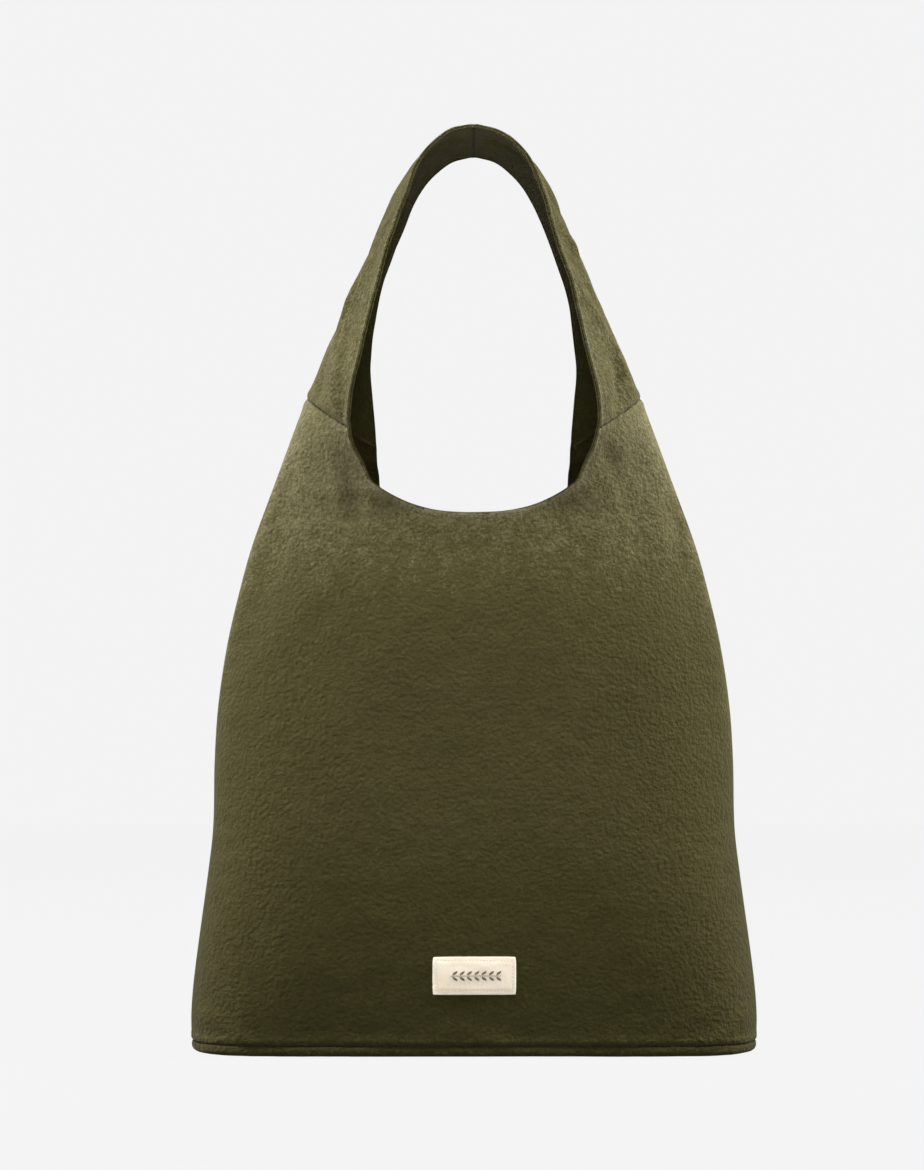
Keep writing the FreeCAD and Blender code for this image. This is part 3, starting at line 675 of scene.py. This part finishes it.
def panel_grid(side):
    """Places of the panel's grid: share across and height. The middle's top row is the scooped mouth,
    and the rows beside it run on up the horns."""
    edge = SCOOP_SHARE[side]
    out = np.linspace(0, 1, SIDE_COLUMNS + 1)
    out = 1 - (1 - out) ** 1.55
    out = 0.55 * out + 0.45 * (1 - (1 - np.linspace(0, 1, SIDE_COLUMNS + 1)) ** 1.1)
    middle = np.sin(np.linspace(-1, 1, MIDDLE_COLUMNS + 1) * 1.25) / math.sin(1.25)
    up = np.linspace(0, 1, LOW_ROWS)
    up = up + 0.055 * np.sin(2 * math.pi * up)
    up = 0.75 * up + 0.25 * (0.5 - 0.5 * np.cos(math.pi * up))
    mouth = MOUTH_HEIGHT + (HORN_HEIGHT - MOUTH_HEIGHT) * np.abs(middle) ** SCOOP_POWER
    z_mid = BASE_SEAM + up[:, None] * (mouth - BASE_SEAM)[None]
    z_side = np.broadcast_to((BASE_SEAM + up * (HORN_HEIGHT - BASE_SEAM))[:, None], (LOW_ROWS, SIDE_COLUMNS))
    s_mid = np.broadcast_to(edge * middle, z_mid.shape)
    s_side = np.broadcast_to(edge + (1 - edge) * out[1:], z_side.shape)
    low = [np.concatenate([a, b, c], 1) for a, b, c in (
        (-s_side[:, ::-1], s_mid, s_side), (z_side, z_mid, z_side))]
    top = seam_height(fold_share(1 - out, 1.0))
    z_horn = HORN_HEIGHT + np.linspace(0, 1, HORN_ROWS + 1)[1:, None] * (top[None] - HORN_HEIGHT)
    fold = law(FOLD_LAW, np.interp(z_horn, RIDGE_Z, RIDGE_SHARE), 1 if side < 0 else 2)
    inner = 1 - fold / half_width(z_horn)
    s_horn = inner + (1 - inner) * out[None]
    gap = np.zeros((HORN_ROWS, MIDDLE_COLUMNS - 1))
    s_high = np.concatenate([-s_horn[:, ::-1], gap, s_horn], 1)
    z_high = np.concatenate([z_horn[:, ::-1], gap + HORN_HEIGHT, z_horn], 1)
    s, z = np.concatenate([low[0], s_high]), np.concatenate([low[1], z_high])
    here = np.ones(s.shape, bool)
    here[LOW_ROWS:, SIDE_COLUMNS + 1:-SIDE_COLUMNS - 1] = False
    return s, z, here


def skin_normals(skin, s, z, side):
    """Outward normals of a panel's skin, from small steps across and up."""
    ds, dz = 0.004, 0.8
    high, low = np.clip(s + ds, -1, 1), np.clip(s - ds, -1, 1)
    across = skin(high, z, side) - skin(low, z, side)
    up = skin(s, z + dz, side) - skin(s, z - dz, side)
    n = np.cross(across, up) * (-side)
    return n / np.linalg.norm(n, axis=-1, keepdims=True)


def mouth_edge(points, normals):
    """The panel's free edge from the left horn's seam, round the scoop, to the right horn's seam."""
    left, right = SIDE_COLUMNS, points.shape[1] - SIDE_COLUMNS - 1
    parts = []
    for grid in (points, normals):
        scoop = grid[LOW_ROWS - 1, left:right + 1]
        parts.append(np.concatenate([grid[LOW_ROWS:, left][::-1], scoop, grid[LOW_ROWS:, right]]))
    return parts


def seam_dip(distance, wide, deep):
    return -deep * np.exp(-((distance / wide) ** 2))


def base_mark(z):
    """Pulled-in cloth at the base seam, with a slight roll above it."""
    height = z - BASE_SEAM
    return seam_dip(height, 1.1, 1.6) + 0.45 * np.exp(-(((height - 4.2) / 2.4) ** 2))


def seam_mark(distance):
    """Groove at a seam and the ridge that its turned allowance makes beside it."""
    return seam_dip(distance, 1.1, 0.9) + 0.5 * np.exp(-(((distance - 4.5) / 3.2) ** 2))


panels = {}
for side in (-1, 1):
    s, z, here = panel_grid(side)
    base = panel_skin(s, z, side)
    normals = skin_normals(panel_skin, s, z, side)
    lift = panel_folds(base[..., 0], base[..., 2], s, side) + base_mark(z)
    high = np.clip(np.abs(base[..., 1]) / law(FOLD_LAW, np.interp(z, RIDGE_Z, RIDGE_SHARE), 3 if side < 0 else 4), 0, 1)
    lift = lift + seam_mark(np.maximum(seam_height(high) - z, 0)) * (z > HORN_HEIGHT - 20)
    panels[side] = {"s": s, "z": z, "here": here, "base": base, "points": base + normals * lift[..., None],
                    "normals": normals}

# ---------------------------------------------------------------- strap halves
STRAP_ROWS, STRAP_COLUMNS = 150, 72
straps = {}
for side in (-1, 1):
    q = np.linspace(-1, 1, STRAP_COLUMNS + 1)
    q = np.tile(0.8 * q + 0.2 * np.sin(q * math.pi / 2), (STRAP_ROWS, 1))
    share = seam_share(q) + (1 - seam_share(q)) * np.linspace(0, 1, STRAP_ROWS)[:, None]
    base = strap_skin(share, q, side)
    normals = normals_of(base) * side
    along = (share - seam_share(q)) * RIDGE_LENGTH
    lift = strap_folds(along, q * 50, side) * smooth(along / 14) * smooth((1 - share) * 14)
    lift = lift + seam_mark(along) + 0.6 * seam_mark((1 - share) * RIDGE_LENGTH)
    straps[side] = {"points": base + normals * lift[..., None], "normals": normals, "along": along, "q": q}


def full_edge(side):
    """Free edge of one side of the bag, from the strap's top seam on the left round to it on the right."""
    column = 0 if side < 0 else -1
    points, normals = mouth_edge(panels[side]["points"], panels[side]["normals"])
    path = np.concatenate([straps[-1]["points"][::-1, column], points, straps[1]["points"][:, column]])
    out = np.concatenate([straps[-1]["normals"][::-1, column], normals, straps[1]["normals"][:, column]])
    even, at = evenly(path, EDGE_PITCH)
    out = read_at(at, length_along(path), out)
    kernel = np.hanning(9) / np.hanning(9).sum()
    for rows in (even, out):
        middle = np.stack([np.convolve(rows[:, k], kernel, "same") for k in range(3)], 1)
        rows[4:-4] = middle[4:-4]
    out = unit(out)
    inward = np.cross(out, unit(np.gradient(even, axis=0)))
    middle = len(even) // 2
    to_body = np.array([0, 0, BODY_MIDDLE]) - even[middle]
    return even, out, inward * np.sign(inward[middle] @ to_body)


edges = {side: full_edge(side) for side in (-1, 1)}
edge_points = np.concatenate([edges[-1][0], edges[1][0]])


def lay_on(path, points, normals):
    """Path moved along the nearest cloth normals until it lies on the cloth."""
    _, number = nearest(path, points)
    v, n = points[number], normals[number]
    return path - ((path - v) * n).sum(1, keepdims=True) * n, n


def cloth_piece(name, grid, here, normals, depth, thickness, material, wear_and_painted_light=None):
    """A cloth piece on the given grid, sunk below it by depth, thickened inwards."""
    points = grid - normals * np.asarray(depth)[..., None]
    faces = grid_faces(here)
    flat = points[here]
    a, b, c = (flat[faces[:, k]] for k in (0, 1, 3))
    way = (np.cross(b - a, c - a) * normals[here][faces[:, 0]]).sum()
    if way < 0:
        faces = faces[:, ::-1]
    piece = new_piece(name, flat, faces, material, grid_uv(points)[here], wear_and_painted_light)
    return solidify(piece, thickness), flat


def lining_way(base, s, z, side):
    """Way from the shell to the lining for one millimetre of inset: towards the middle in the body, off the
    fold in the horns, and never across the middle plane."""
    turn = horn_turn(z)
    share = np.interp(z, RIDGE_Z, RIDGE_SHARE)
    q = np.clip(np.abs(base[..., 1]) / law(FOLD_LAW, share, 3 if side < 0 else 4), 0, 1)
    body = np.stack([-s, -side * np.abs(base[..., 1]) / half_depth(z), 0 * s], -1)
    horn = np.stack([-np.sign(s) * (1 - 0.3 * q**2), -0.8 * side * q, 0 * s], -1)
    return body * (1 - turn) + horn * turn


def edge_wear(points):
    """Distance from the free edges, and the wear that fades out away from them."""
    away, _ = nearest(points, edge_points)
    return away, np.exp(-away / 2.6)


def stitch_groove(away):
    """Depth of the cloth beside the free edge: pulled in along the stitches, raised over the turned edge."""
    return 0.5 * np.exp(-(((away - STITCH_INSET) / 1.5) ** 2)) - 0.25 * np.exp(-((away / 2.2) ** 2))


def cross_fold(piece):
    """Bakes the piece's transform into its mesh."""
    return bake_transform(piece)


def stand_for(piece, nodes, wide, tall, share):
    """The piece takes the nodes' place, whose parts are hidden. Wide, tall and share are not used."""
    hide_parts(*nodes)


SIDE_NAME = {-1: "front", 1: "back"}
HALF_NAME = {-1: "left", 1: "right"}
cloth_surface = {}
for side in (-1, 1):
    p = panels[side]
    inside = p["here"]
    away, wear_and_painted_light = edge_wear(p["points"][inside])
    # Lighter cloth along the side seams, more of it higher up, and over the upper panel and horns: partly rubbed wear,
    # partly painted light from the side lamps and from above.
    ridge = np.exp(-((1 - np.abs(p["s"][inside])) * 150 / 3.0)) * (0.15 + 0.4 * smooth((p["z"][inside] - 60) / 250))
    seam = 0.4 * np.exp(-np.abs(p["z"][inside] - BASE_SEAM - 5) / 2.2)
    wear_and_painted_light = np.clip(0.5 * wear_and_painted_light + ridge + seam + 0.7 * smooth((p["z"][inside] - 280) / 170), 0, 1)
    groove = np.zeros(inside.shape)
    groove[inside] = stitch_groove(away)
    name = SIDE_NAME[side] + "_panel_cloth"
    piece, flat = cloth_piece(name, p["points"], inside, p["normals"], groove, CANVAS, CANVAS_CLOTH, wear_and_painted_light)
    cross_fold(piece)
    stand_for(piece, [SIDE_NAME[side] + "_panel"], 500, 500, 0.78)
    cloth_surface[side] = (flat, p["normals"][inside])
    depth = np.zeros(inside.shape)
    near_edge = smooth((away - 2) / 34)
    depth[inside] = 1.5 + (LINING_DEPTH[side] - 1.5) * near_edge
    name = SIDE_NAME[side] + "_lining_cloth"
    inner = p["points"] + lining_way(p["base"], p["s"], p["z"], side) * depth[..., None]
    # The lining takes a weaker share of the same wear and painted light.
    piece, _ = cloth_piece(name, inner, inside, p["normals"], 0 * depth, 0.5 * LINING, INSIDE_CLOTH,
                           0.4 * wear_and_painted_light)
    cross_fold(piece)
    stand_for(piece, [SIDE_NAME[side] + "_lining"], 500, 500, 0.76)

for side in (-1, 1):
    p = straps[side]
    inside = np.ones(p["q"].shape, bool)
    away, wear_and_painted_light = edge_wear(p["points"][inside])
    groove = stitch_groove(away)
    high = p["along"][inside] / RIDGE_LENGTH
    # The strap's lift is partly wear and partly painted light from above; it is less towards the strap's top and more
    # along the fold's ridge.
    wear_and_painted_light = np.clip(0.5 * wear_and_painted_light + 0.45 - 0.25 * smooth(high * 1.4) + 0.3 * np.exp(-((p["q"][inside] / 0.12) ** 2)), 0, 1)
    name = "strap_" + HALF_NAME[side] + "_cloth"
    piece, flat = cloth_piece(name, p["points"], inside, p["normals"], groove.reshape(inside.shape), CANVAS,
                              CANVAS_CLOTH, wear_and_painted_light)
    cross_fold(piece)
    stand_for(piece, ["strap_" + HALF_NAME[side], "horn_" + HALF_NAME[side]], 120, 265, 0.85)
    cloth_surface[2 * side] = (flat, p["normals"][inside])
    name = "strap_facing_" + HALF_NAME[side] + "_cloth"
    # Painted light and shade on the facing: it is lighter towards the strap's top, where light comes from below, and
    # darker lower down.
    piece, _ = cloth_piece(name, p["points"], inside, p["normals"], 1.4 + 0 * p["q"], LINING, FACING_CLOTH,
                           smooth(1.5 * high - 0.3))
    cross_fold(piece)
    stand_for(piece, ["strap_lining_" + HALF_NAME[side], "horn_lining_" + HALF_NAME[side]], 120, 260, 0.85)

all_points = np.concatenate([f for f, _ in cloth_surface.values()])
all_normals = np.concatenate([n for _, n in cloth_surface.values()])


# ---------------------------------------------------------------- turned edges and topstitching
def bead_piece(name, path, radius, wear_and_painted_light):
    """Rolled or turned cloth as a round bead along a path."""
    sides = 8
    points, faces = tube(path, radius, sides)
    turn = np.arange(len(points)) % sides * float(np.mean(radius)) * math.pi / 4
    uv = np.stack([turn, np.repeat(length_along(path), sides)], 1)
    return cross_fold(new_piece(name, points, faces, CANVAS_CLOTH, uv, np.full(len(points), wear_and_painted_light)))


for side in (-1, 1):
    path, out, inward = edges[side]
    along = np.arange(len(path)) * EDGE_PITCH
    uneven = 1 + 0.10 * np.sin(along / 5.3) * np.sin(along / 17.1)
    bead_piece(SIDE_NAME[side] + "_turned_edge", path - 0.62 * out + 0.3 * inward, EDGE_ROLL * uneven, 0.4)
    bead_piece(SIDE_NAME[side] + "_facing_edge", path - 2.3 * out - 0.3 * inward, FACING_ROLL * uneven, 0.2)
    row, normal = lay_on(path + STITCH_INSET * inward, all_points, all_normals)
    points, faces = stitches(row, normal, STITCH_PITCH, STITCH_LONG, 0.36)
    cross_fold(new_piece(SIDE_NAME[side] + "_topstitching", points, faces, CANVAS_THREAD))


for side in (-1, 1):
    p = straps[side]
    for name, row in (("horn_seam", 0), ("top_seam", -1)):
        sunk = p["points"][row, 1:-1] - 1.5 * p["normals"][row, 1:-1]
        bead_piece(name + "_" + HALF_NAME[side], sunk, SEAM_ROLL, 0.0)


# ---------------------------------------------------------------- base
def base_ring(share_in, z, count=260):
    """Ring round the base: the outline drawn in towards the middle line by a share."""
    turn = np.linspace(0, 2 * math.pi, count, endpoint=False)
    c, d = np.cos(turn), np.sin(turn)
    s = np.sign(c) * np.abs(c) ** 0.42
    half = float(half_width(np.array(BASE_SEAM)))
    x = half * s
    y = 0.5 * BASE_DEPTH * np.sign(d) * (1 - np.abs(s) ** 9) ** 0.5
    core = np.clip(x, -0.72 * half, 0.72 * half)
    return np.stack([core + (x - core) * (1 - share_in), y * (1 - share_in), z + 0 * x], 1)


def base_cloth():
    """Tray: down from the seam, round the lower edge and in along the floor."""
    profile = [(0.012, 7.4), (0.004, 6.6), (0.0, 5.2), (0.004, 3.4), (0.018, 1.8), (0.045, 0.7), (0.085, 0.2),
               (0.14, 0.05), (0.25, 0.05), (0.4, 0.1), (0.6, 0.15), (0.8, 0.2), (0.94, 0.2), (0.995, 0.2)]
    rings = np.stack([base_ring(share, z) for share, z in profile])
    chance = waves(rings[..., 0], rings[..., 1], 5, 20, 14, 60, 0.25)
    rings[..., 2] = np.maximum(rings[..., 2] + np.abs(chance) * (rings[..., 2] > 0.02), 0.0)
    uv = np.stack([rings[..., 0], rings[..., 1] + rings[..., 2]], -1).reshape(-1, 2)
    return rings.reshape(-1, 3), closed_ring_faces(rings), uv


points, faces, uv = base_cloth()
base_piece = new_piece("base_panel_cloth", points, faces, CANVAS_CLOTH, uv,
                       0.35 * np.exp(-np.abs(points[:, 2] - 3.5) / 1.5))
solidify(base_piece, CANVAS)
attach(base_piece, "root")
stand_for(base_piece, ["base_panel"], 424, 126, 0.97)


# ---------------------------------------------------------------- label
def front_cloth(x, z):
    """Points and normals of the front panel's outside at places across and up."""
    s = x / half_width(z)
    base = panel_skin(s, z, -1)
    normal = skin_normals(panel_skin, s, z, -1)
    return base + normal * (panel_folds(base[..., 0], base[..., 2], s, -1) + base_mark(z))[..., None], normal


def label_piece():
    """Rounded rectangle laid on the front, a little pillowed between its stitches."""
    u, v = np.meshgrid(np.linspace(-1, 1, 73), np.linspace(-1, 1, 37))
    power = 7.0
    size = np.maximum(np.abs(u), np.abs(v))
    norm = (np.abs(u) ** power + np.abs(v) ** power) ** (1 / power)
    scale = np.where(norm > 0, size / np.maximum(norm, 1e-9), 1.0)
    scale = 1 - 0.2 * (1 - scale)
    x, z = u * scale * LABEL_WIDE / 2, LABEL_HEIGHT + v * scale * LABEL_TALL / 2
    base, normal = front_cloth(x, z)
    rim = np.minimum(LABEL_WIDE / 2 * (1 - np.abs(u)), LABEL_TALL / 2 * (1 - np.abs(v)))
    pillow = 0.85 + 0.35 * smooth(rim / 5) - 0.35 * np.exp(-(((rim - 2.4) / 0.9) ** 2))
    pillow = pillow + waves(x, z, 91, 16, 10, 40, 0.18)
    points = base + normal * pillow[..., None]
    faces = grid_faces(np.ones(u.shape, bool))
    uv = np.stack([x, z], -1).reshape(-1, 2)
    piece = new_piece("label_cloth", points.reshape(-1, 3), faces, LABEL_CLOTH, uv,
                      np.exp(-rim / 1.5).ravel())
    return solidify(piece, 0.8)


label = label_piece()
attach(label, "root")
stand_for(label, ["label"], *LABEL_CUT, 0.98)


def label_thread():
    """Row of dashes round the label, one inset inside its edge."""
    inset, corner = 2.4, 1.2
    w, h = LABEL_WIDE / 2 - inset, LABEL_TALL / 2 - inset
    turn = np.linspace(0, math.pi / 2, 7)
    ring = []
    for k, (cx, cz) in enumerate(((w, h), (-w, h), (-w, -h), (w, -h))):
        a = turn + k * math.pi / 2
        ring.append(np.stack([cx - np.sign(cx) * corner + corner * np.cos(a),
                              cz - np.sign(cz) * corner + corner * np.sin(a)], 1))
    ring = np.concatenate(ring + [ring[0][:1]])
    path, _ = evenly(np.column_stack([ring, np.zeros(len(ring))]), 0.6)
    row, normal = front_cloth(path[:, 0], LABEL_HEIGHT + path[:, 1])
    return stitches(row + normal, normal, 2.5, 1.8, 0.28)


points, faces = label_thread()
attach(new_piece("label_stitching", points, faces, LABEL_THREAD), "root")


def motif():
    """Plain leaf sprig in satin stitch: a stem and pairs of leaves, filled with short slanted threads."""
    starts, ends = [], []
    for k in range(-3, 4):
        x0 = 5.2 * k
        for way in (-1, 1):
            for t in np.linspace(0.12, 0.95, 9):
                half = 1.05 * math.sin(math.pi * t)
                cx, cz = x0 + 3.6 * t, way * (0.4 + 3.3 * t)
                starts.append((cx - half, cz + way * half * 0.3))
                ends.append((cx + half, cz - way * half * 0.3))
    for x in np.arange(-17, 19, 1.5):
        starts.append((x, -0.25))
        ends.append((x + 1.5, 0.25))
    a, b = np.array(starts), np.array(ends)
    t = np.linspace(0, 1, 4)[None, :, None]
    line = a[:, None] * (1 - t) + b[:, None] * t
    lift = 1.28 + 0.22 * np.sin(math.pi * t[..., 0]) + 0 * line[..., 0]
    base, normal = front_cloth(line[..., 0], LABEL_HEIGHT + line[..., 1])
    spine = base + normal * lift[..., None]
    ahead = np.gradient(spine, axis=1)
    ahead /= np.linalg.norm(ahead, axis=-1, keepdims=True)
    aside = np.cross(normal, ahead)
    turn = np.arange(4) * math.pi / 2
    rings = spine[:, :, None] + 0.2 * (np.cos(turn)[:, None] * aside[:, :, None] + np.sin(turn)[:, None]
                                       * normal[:, :, None])
    one = np.concatenate([tube_faces(4, 4), [[3, 2, 1, 0], [12, 13, 14, 15]]])
    return rings.reshape(-1, 3), (one[None] + 16 * np.arange(len(a))[:, None, None]).reshape(-1, 4)


points, faces = motif()
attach(new_piece("label_sprig", points, faces, MOTIF_THREAD), "root")

# ---------------------------------------------------------------- inner cloth
def base_lining_piece():
    """Loose cloth over the stiffener, cut to the base's rounded outline, with shallow wrinkles."""
    rings = np.stack([base_ring(share, 6.7, 200) for share in np.linspace(0.02, 0.999, 34)])
    wrinkle = waves(rings[..., 0], rings[..., 1], 17, 20, 30, 120, 0.35)
    rings[..., 2] = rings[..., 2] + np.abs(wrinkle)
    faces = closed_ring_faces(rings)[:, ::-1]
    piece = new_piece("base_lining_cloth", rings.reshape(-1, 3), faces, INSIDE_CLOTH,
                      rings[..., :2].reshape(-1, 2), np.zeros(rings[..., 0].size))
    return solidify(piece, 0.7)


def flat_grid(name, across, up, lift):
    """Grid in the middle plane of the named piece of the zip, which leans with the lining."""
    box = np.array([v.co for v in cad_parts[name].data.vertices]) / MM
    low, high = box.min(0), box.max(0)
    lean = math.atan2(high[1] - low[1], high[2] - low[2])
    u, v = np.meshgrid(across, up)
    wave = lift + waves(u, v, 61, 12, 12, 50, 0.07)
    points = np.stack([u, 0.5 * (low[1] + high[1]) - v * math.sin(lean) - wave * math.cos(lean),
                       0.5 * (low[2] + high[2]) + v * math.cos(lean) - wave * math.sin(lean)], -1)
    normals = np.broadcast_to(np.array([0.0, -math.cos(lean), -math.sin(lean)]), points.shape)
    return points, normals, u, v


def inner_sheet(name, made, here, thickness, material, node, wide, tall, share):
    points, normals = made[:2]
    piece, _ = cloth_piece(name, points, here, normals, np.zeros(here.shape), thickness, material)
    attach(piece, "root")
    stand_for(piece, [node], wide, tall, share)


floor_cloth = base_lining_piece()
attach(floor_cloth, "root")
stand_for(floor_cloth, ["base_lining"], 412, 116, 0.97)
across, up = (
    np.concatenate([np.linspace(-far, -near, 12), np.linspace(-near, near, count)[1:-1], np.linspace(near, far, 12)])
    for far, near, count in ((FACING_LONG / 2, WINDOW_LONG / 2, 107), (FACING_TALL / 2, WINDOW_TALL / 2, 9)))
made = flat_grid("zip_facing", across, up, 0.3)
here = ~((np.abs(made[2]) < 0.5 * WINDOW_LONG - 0.1) & (np.abs(made[3]) < 0.5 * WINDOW_TALL - 0.1))
inner_sheet("zip_facing_cloth", made, here, 0.6, INSIDE_CLOTH, "zip_facing", FACING_LONG, FACING_TALL,
            0.69)
for name in ("zip_tape_lower", "zip_tape_upper"):
    made = flat_grid(name, np.linspace(-0.5, 0.5, 116) * TAPE_LONG, np.linspace(-0.5, 0.5, 14) * TAPE_TALL, 0.25)
    inner_sheet(name + "_cloth", made, np.ones(made[2].shape, bool), 0.5, TAPE, name, TAPE_LONG, TAPE_TALL,
                0.99)
turn = np.array([(-83, -9), (83, -9), (83, 9), (-83, 9), (-83, -9)], float)
path, _ = evenly(np.column_stack([turn, np.zeros(5)]), 0.8)
box = flat_grid("zip_facing", np.array([0.0, 1.0]), np.array([0.0, 1.0]), 0.0)
centre, lay = box[0][0, 0], box[1][0, 0]
rise = np.array([0.0, lay[2], -lay[1]])
row = centre + path[:, :1] * np.array([1.0, 0, 0]) + path[:, 1:2] * rise + 0.4 * lay
points, faces = stitches(row, np.broadcast_to(lay, row.shape), 2.8, 2.0, 0.25)
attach(new_piece("zip_stitching", points, faces, CANVAS_THREAD), "root")

# ---------------------------------------------------------------- pieces kept from the frame
for name, material in {
    "base_stiffener": FELT, "pocket_bag": INSIDE_CLOTH, "snap_front": OLD_BRASS, "snap_back": OLD_BRASS,
    "snap_washer_front": OLD_BRASS, "snap_washer_back": OLD_BRASS, "zip_teeth_lower": OLD_BRASS,
    "zip_teeth_upper": OLD_BRASS, "zip_stop_open": OLD_BRASS, "zip_stop_closed": OLD_BRASS,
    "zip_slider": OLD_BRASS, "zip_puller": OLD_BRASS,
}.items():
    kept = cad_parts[name]
    kept.data.materials.clear()
    kept.data.materials.append(material)


# ---------------------------------------------------------------- stage, light and camera
FLOOR_GREY, FLOOR_GLOW, DOME_GLOW = 0.006, 0.888, 0.896  # the floor also gets light from the lamps


def stage():
    """Plain pale paper all round: a floor that takes a soft shadow, and a dome of the same tone over it.
    Light rays pass them by, so that they don't brighten the cloth from below."""
    turn, up = np.meshgrid(np.linspace(0, 2 * math.pi, 49), np.linspace(0, math.pi / 2, 13))
    dome = 9.0 * np.stack([np.cos(up) * np.cos(turn), np.cos(up) * np.sin(turn), np.sin(up)], -1)
    dome[..., 2] -= 0.0005
    floor = np.array([[(-9.0, -9.0, 0.0), (9.0, -9.0, 0.0)], [(-9.0, 9.0, 0.0), (9.0, 9.0, 0.0)]])
    for name, points, grey, glow in (("floor", floor, FLOOR_GREY, FLOOR_GLOW), ("dome", dome, 0.0, DOME_GLOW)):
        mesh = bpy.data.meshes.new(name)
        mesh.from_pydata(points.reshape(-1, 3).tolist(), [], grid_faces(np.ones(points.shape[:2], bool)).tolist())
        material, w, shader, spot = new_material(name + "_paper")
        tone = w.spread(w.noise(spot.outputs["Object"], 1.5, 2.0), 0.2, 0.8)
        w.join(w.mix(tone, (grey, grey, grey, 1), (0.99 * grey, 0.99 * grey, 0.99 * grey, 1)),
               shader.inputs["Base Color"])
        shader.inputs["Roughness"].default_value = 1.0
        shader.inputs["Specular IOR Level"].default_value = 0.0
        shader.inputs["Emission Color"].default_value = (1, 1, 1, 1)
        shader.inputs["Emission Strength"].default_value = glow
        mesh.materials.append(material)
        paper = add_object(name, mesh)
        paper.visible_diffuse = False
        paper.visible_glossy = False
        paper.visible_shadow = False


def soft_light(name, place, target, wide, tall, power):
    data = bpy.data.lights.new(name, "AREA")
    data.shape = "RECTANGLE"
    data.size, data.size_y, data.energy = wide, tall, power
    light = add_object(name, data)
    light.location = place
    aim(light, target)


def aim(thing, target):
    way = np.array(target) - np.array(thing.location)
    flat = math.hypot(way[0], way[1])
    thing.rotation_euler = (math.pi / 2 + math.atan2(way[2], flat), 0, -math.atan2(way[0], way[1]))


stage()
for lamp in (
    ("left_window", (-1.4, -0.16, 1.35), (0, 0, 0.5), 0.7, 1.0, 72),
    ("right_window", (1.4, -0.16, 1.35), (0, 0, 0.5), 0.7, 1.0, 72),
    ("overhead", (0, -0.2, 2.3), (0, 0, 0.3), 2.2, 1.2, 41),
    ("front_fill", (0, -2.6, 0.9), (0, 0, 0.3), 2.4, 1.6, 32),
    ("rear_fill", (0, 2.6, 0.9), (0, 0, 0.3), 2.4, 1.6, 22),
    ("floor_bounce", (0, -0.75, 0.03), (0, -0.6, 1.0), 2.0, 0.9, 7),
):
    soft_light(*lamp)
world = bpy.data.worlds.new("studio")
bpy.context.scene.world = world
world.use_nodes = True
world.node_tree.nodes["Background"].inputs["Color"].default_value = (1, 1, 1, 1)
world.node_tree.nodes["Background"].inputs["Strength"].default_value = 0.08

EYE, LOOK_UP = (-0.0088, -1.9, 0.200), 4.3  # metres, degrees
camera_data = bpy.data.cameras.new("camera")
camera_data.sensor_fit = "AUTO"
camera_data.sensor_width = 36.0
camera_data.lens = 78.5
camera = add_object("camera", camera_data)
camera.location = EYE
aim(camera, (EYE[0], 0.0, EYE[2] - EYE[1] * math.tan(math.radians(LOOK_UP))))
bpy.context.scene.camera = camera
bpy.context.scene.view_settings.view_transform = "Standard"
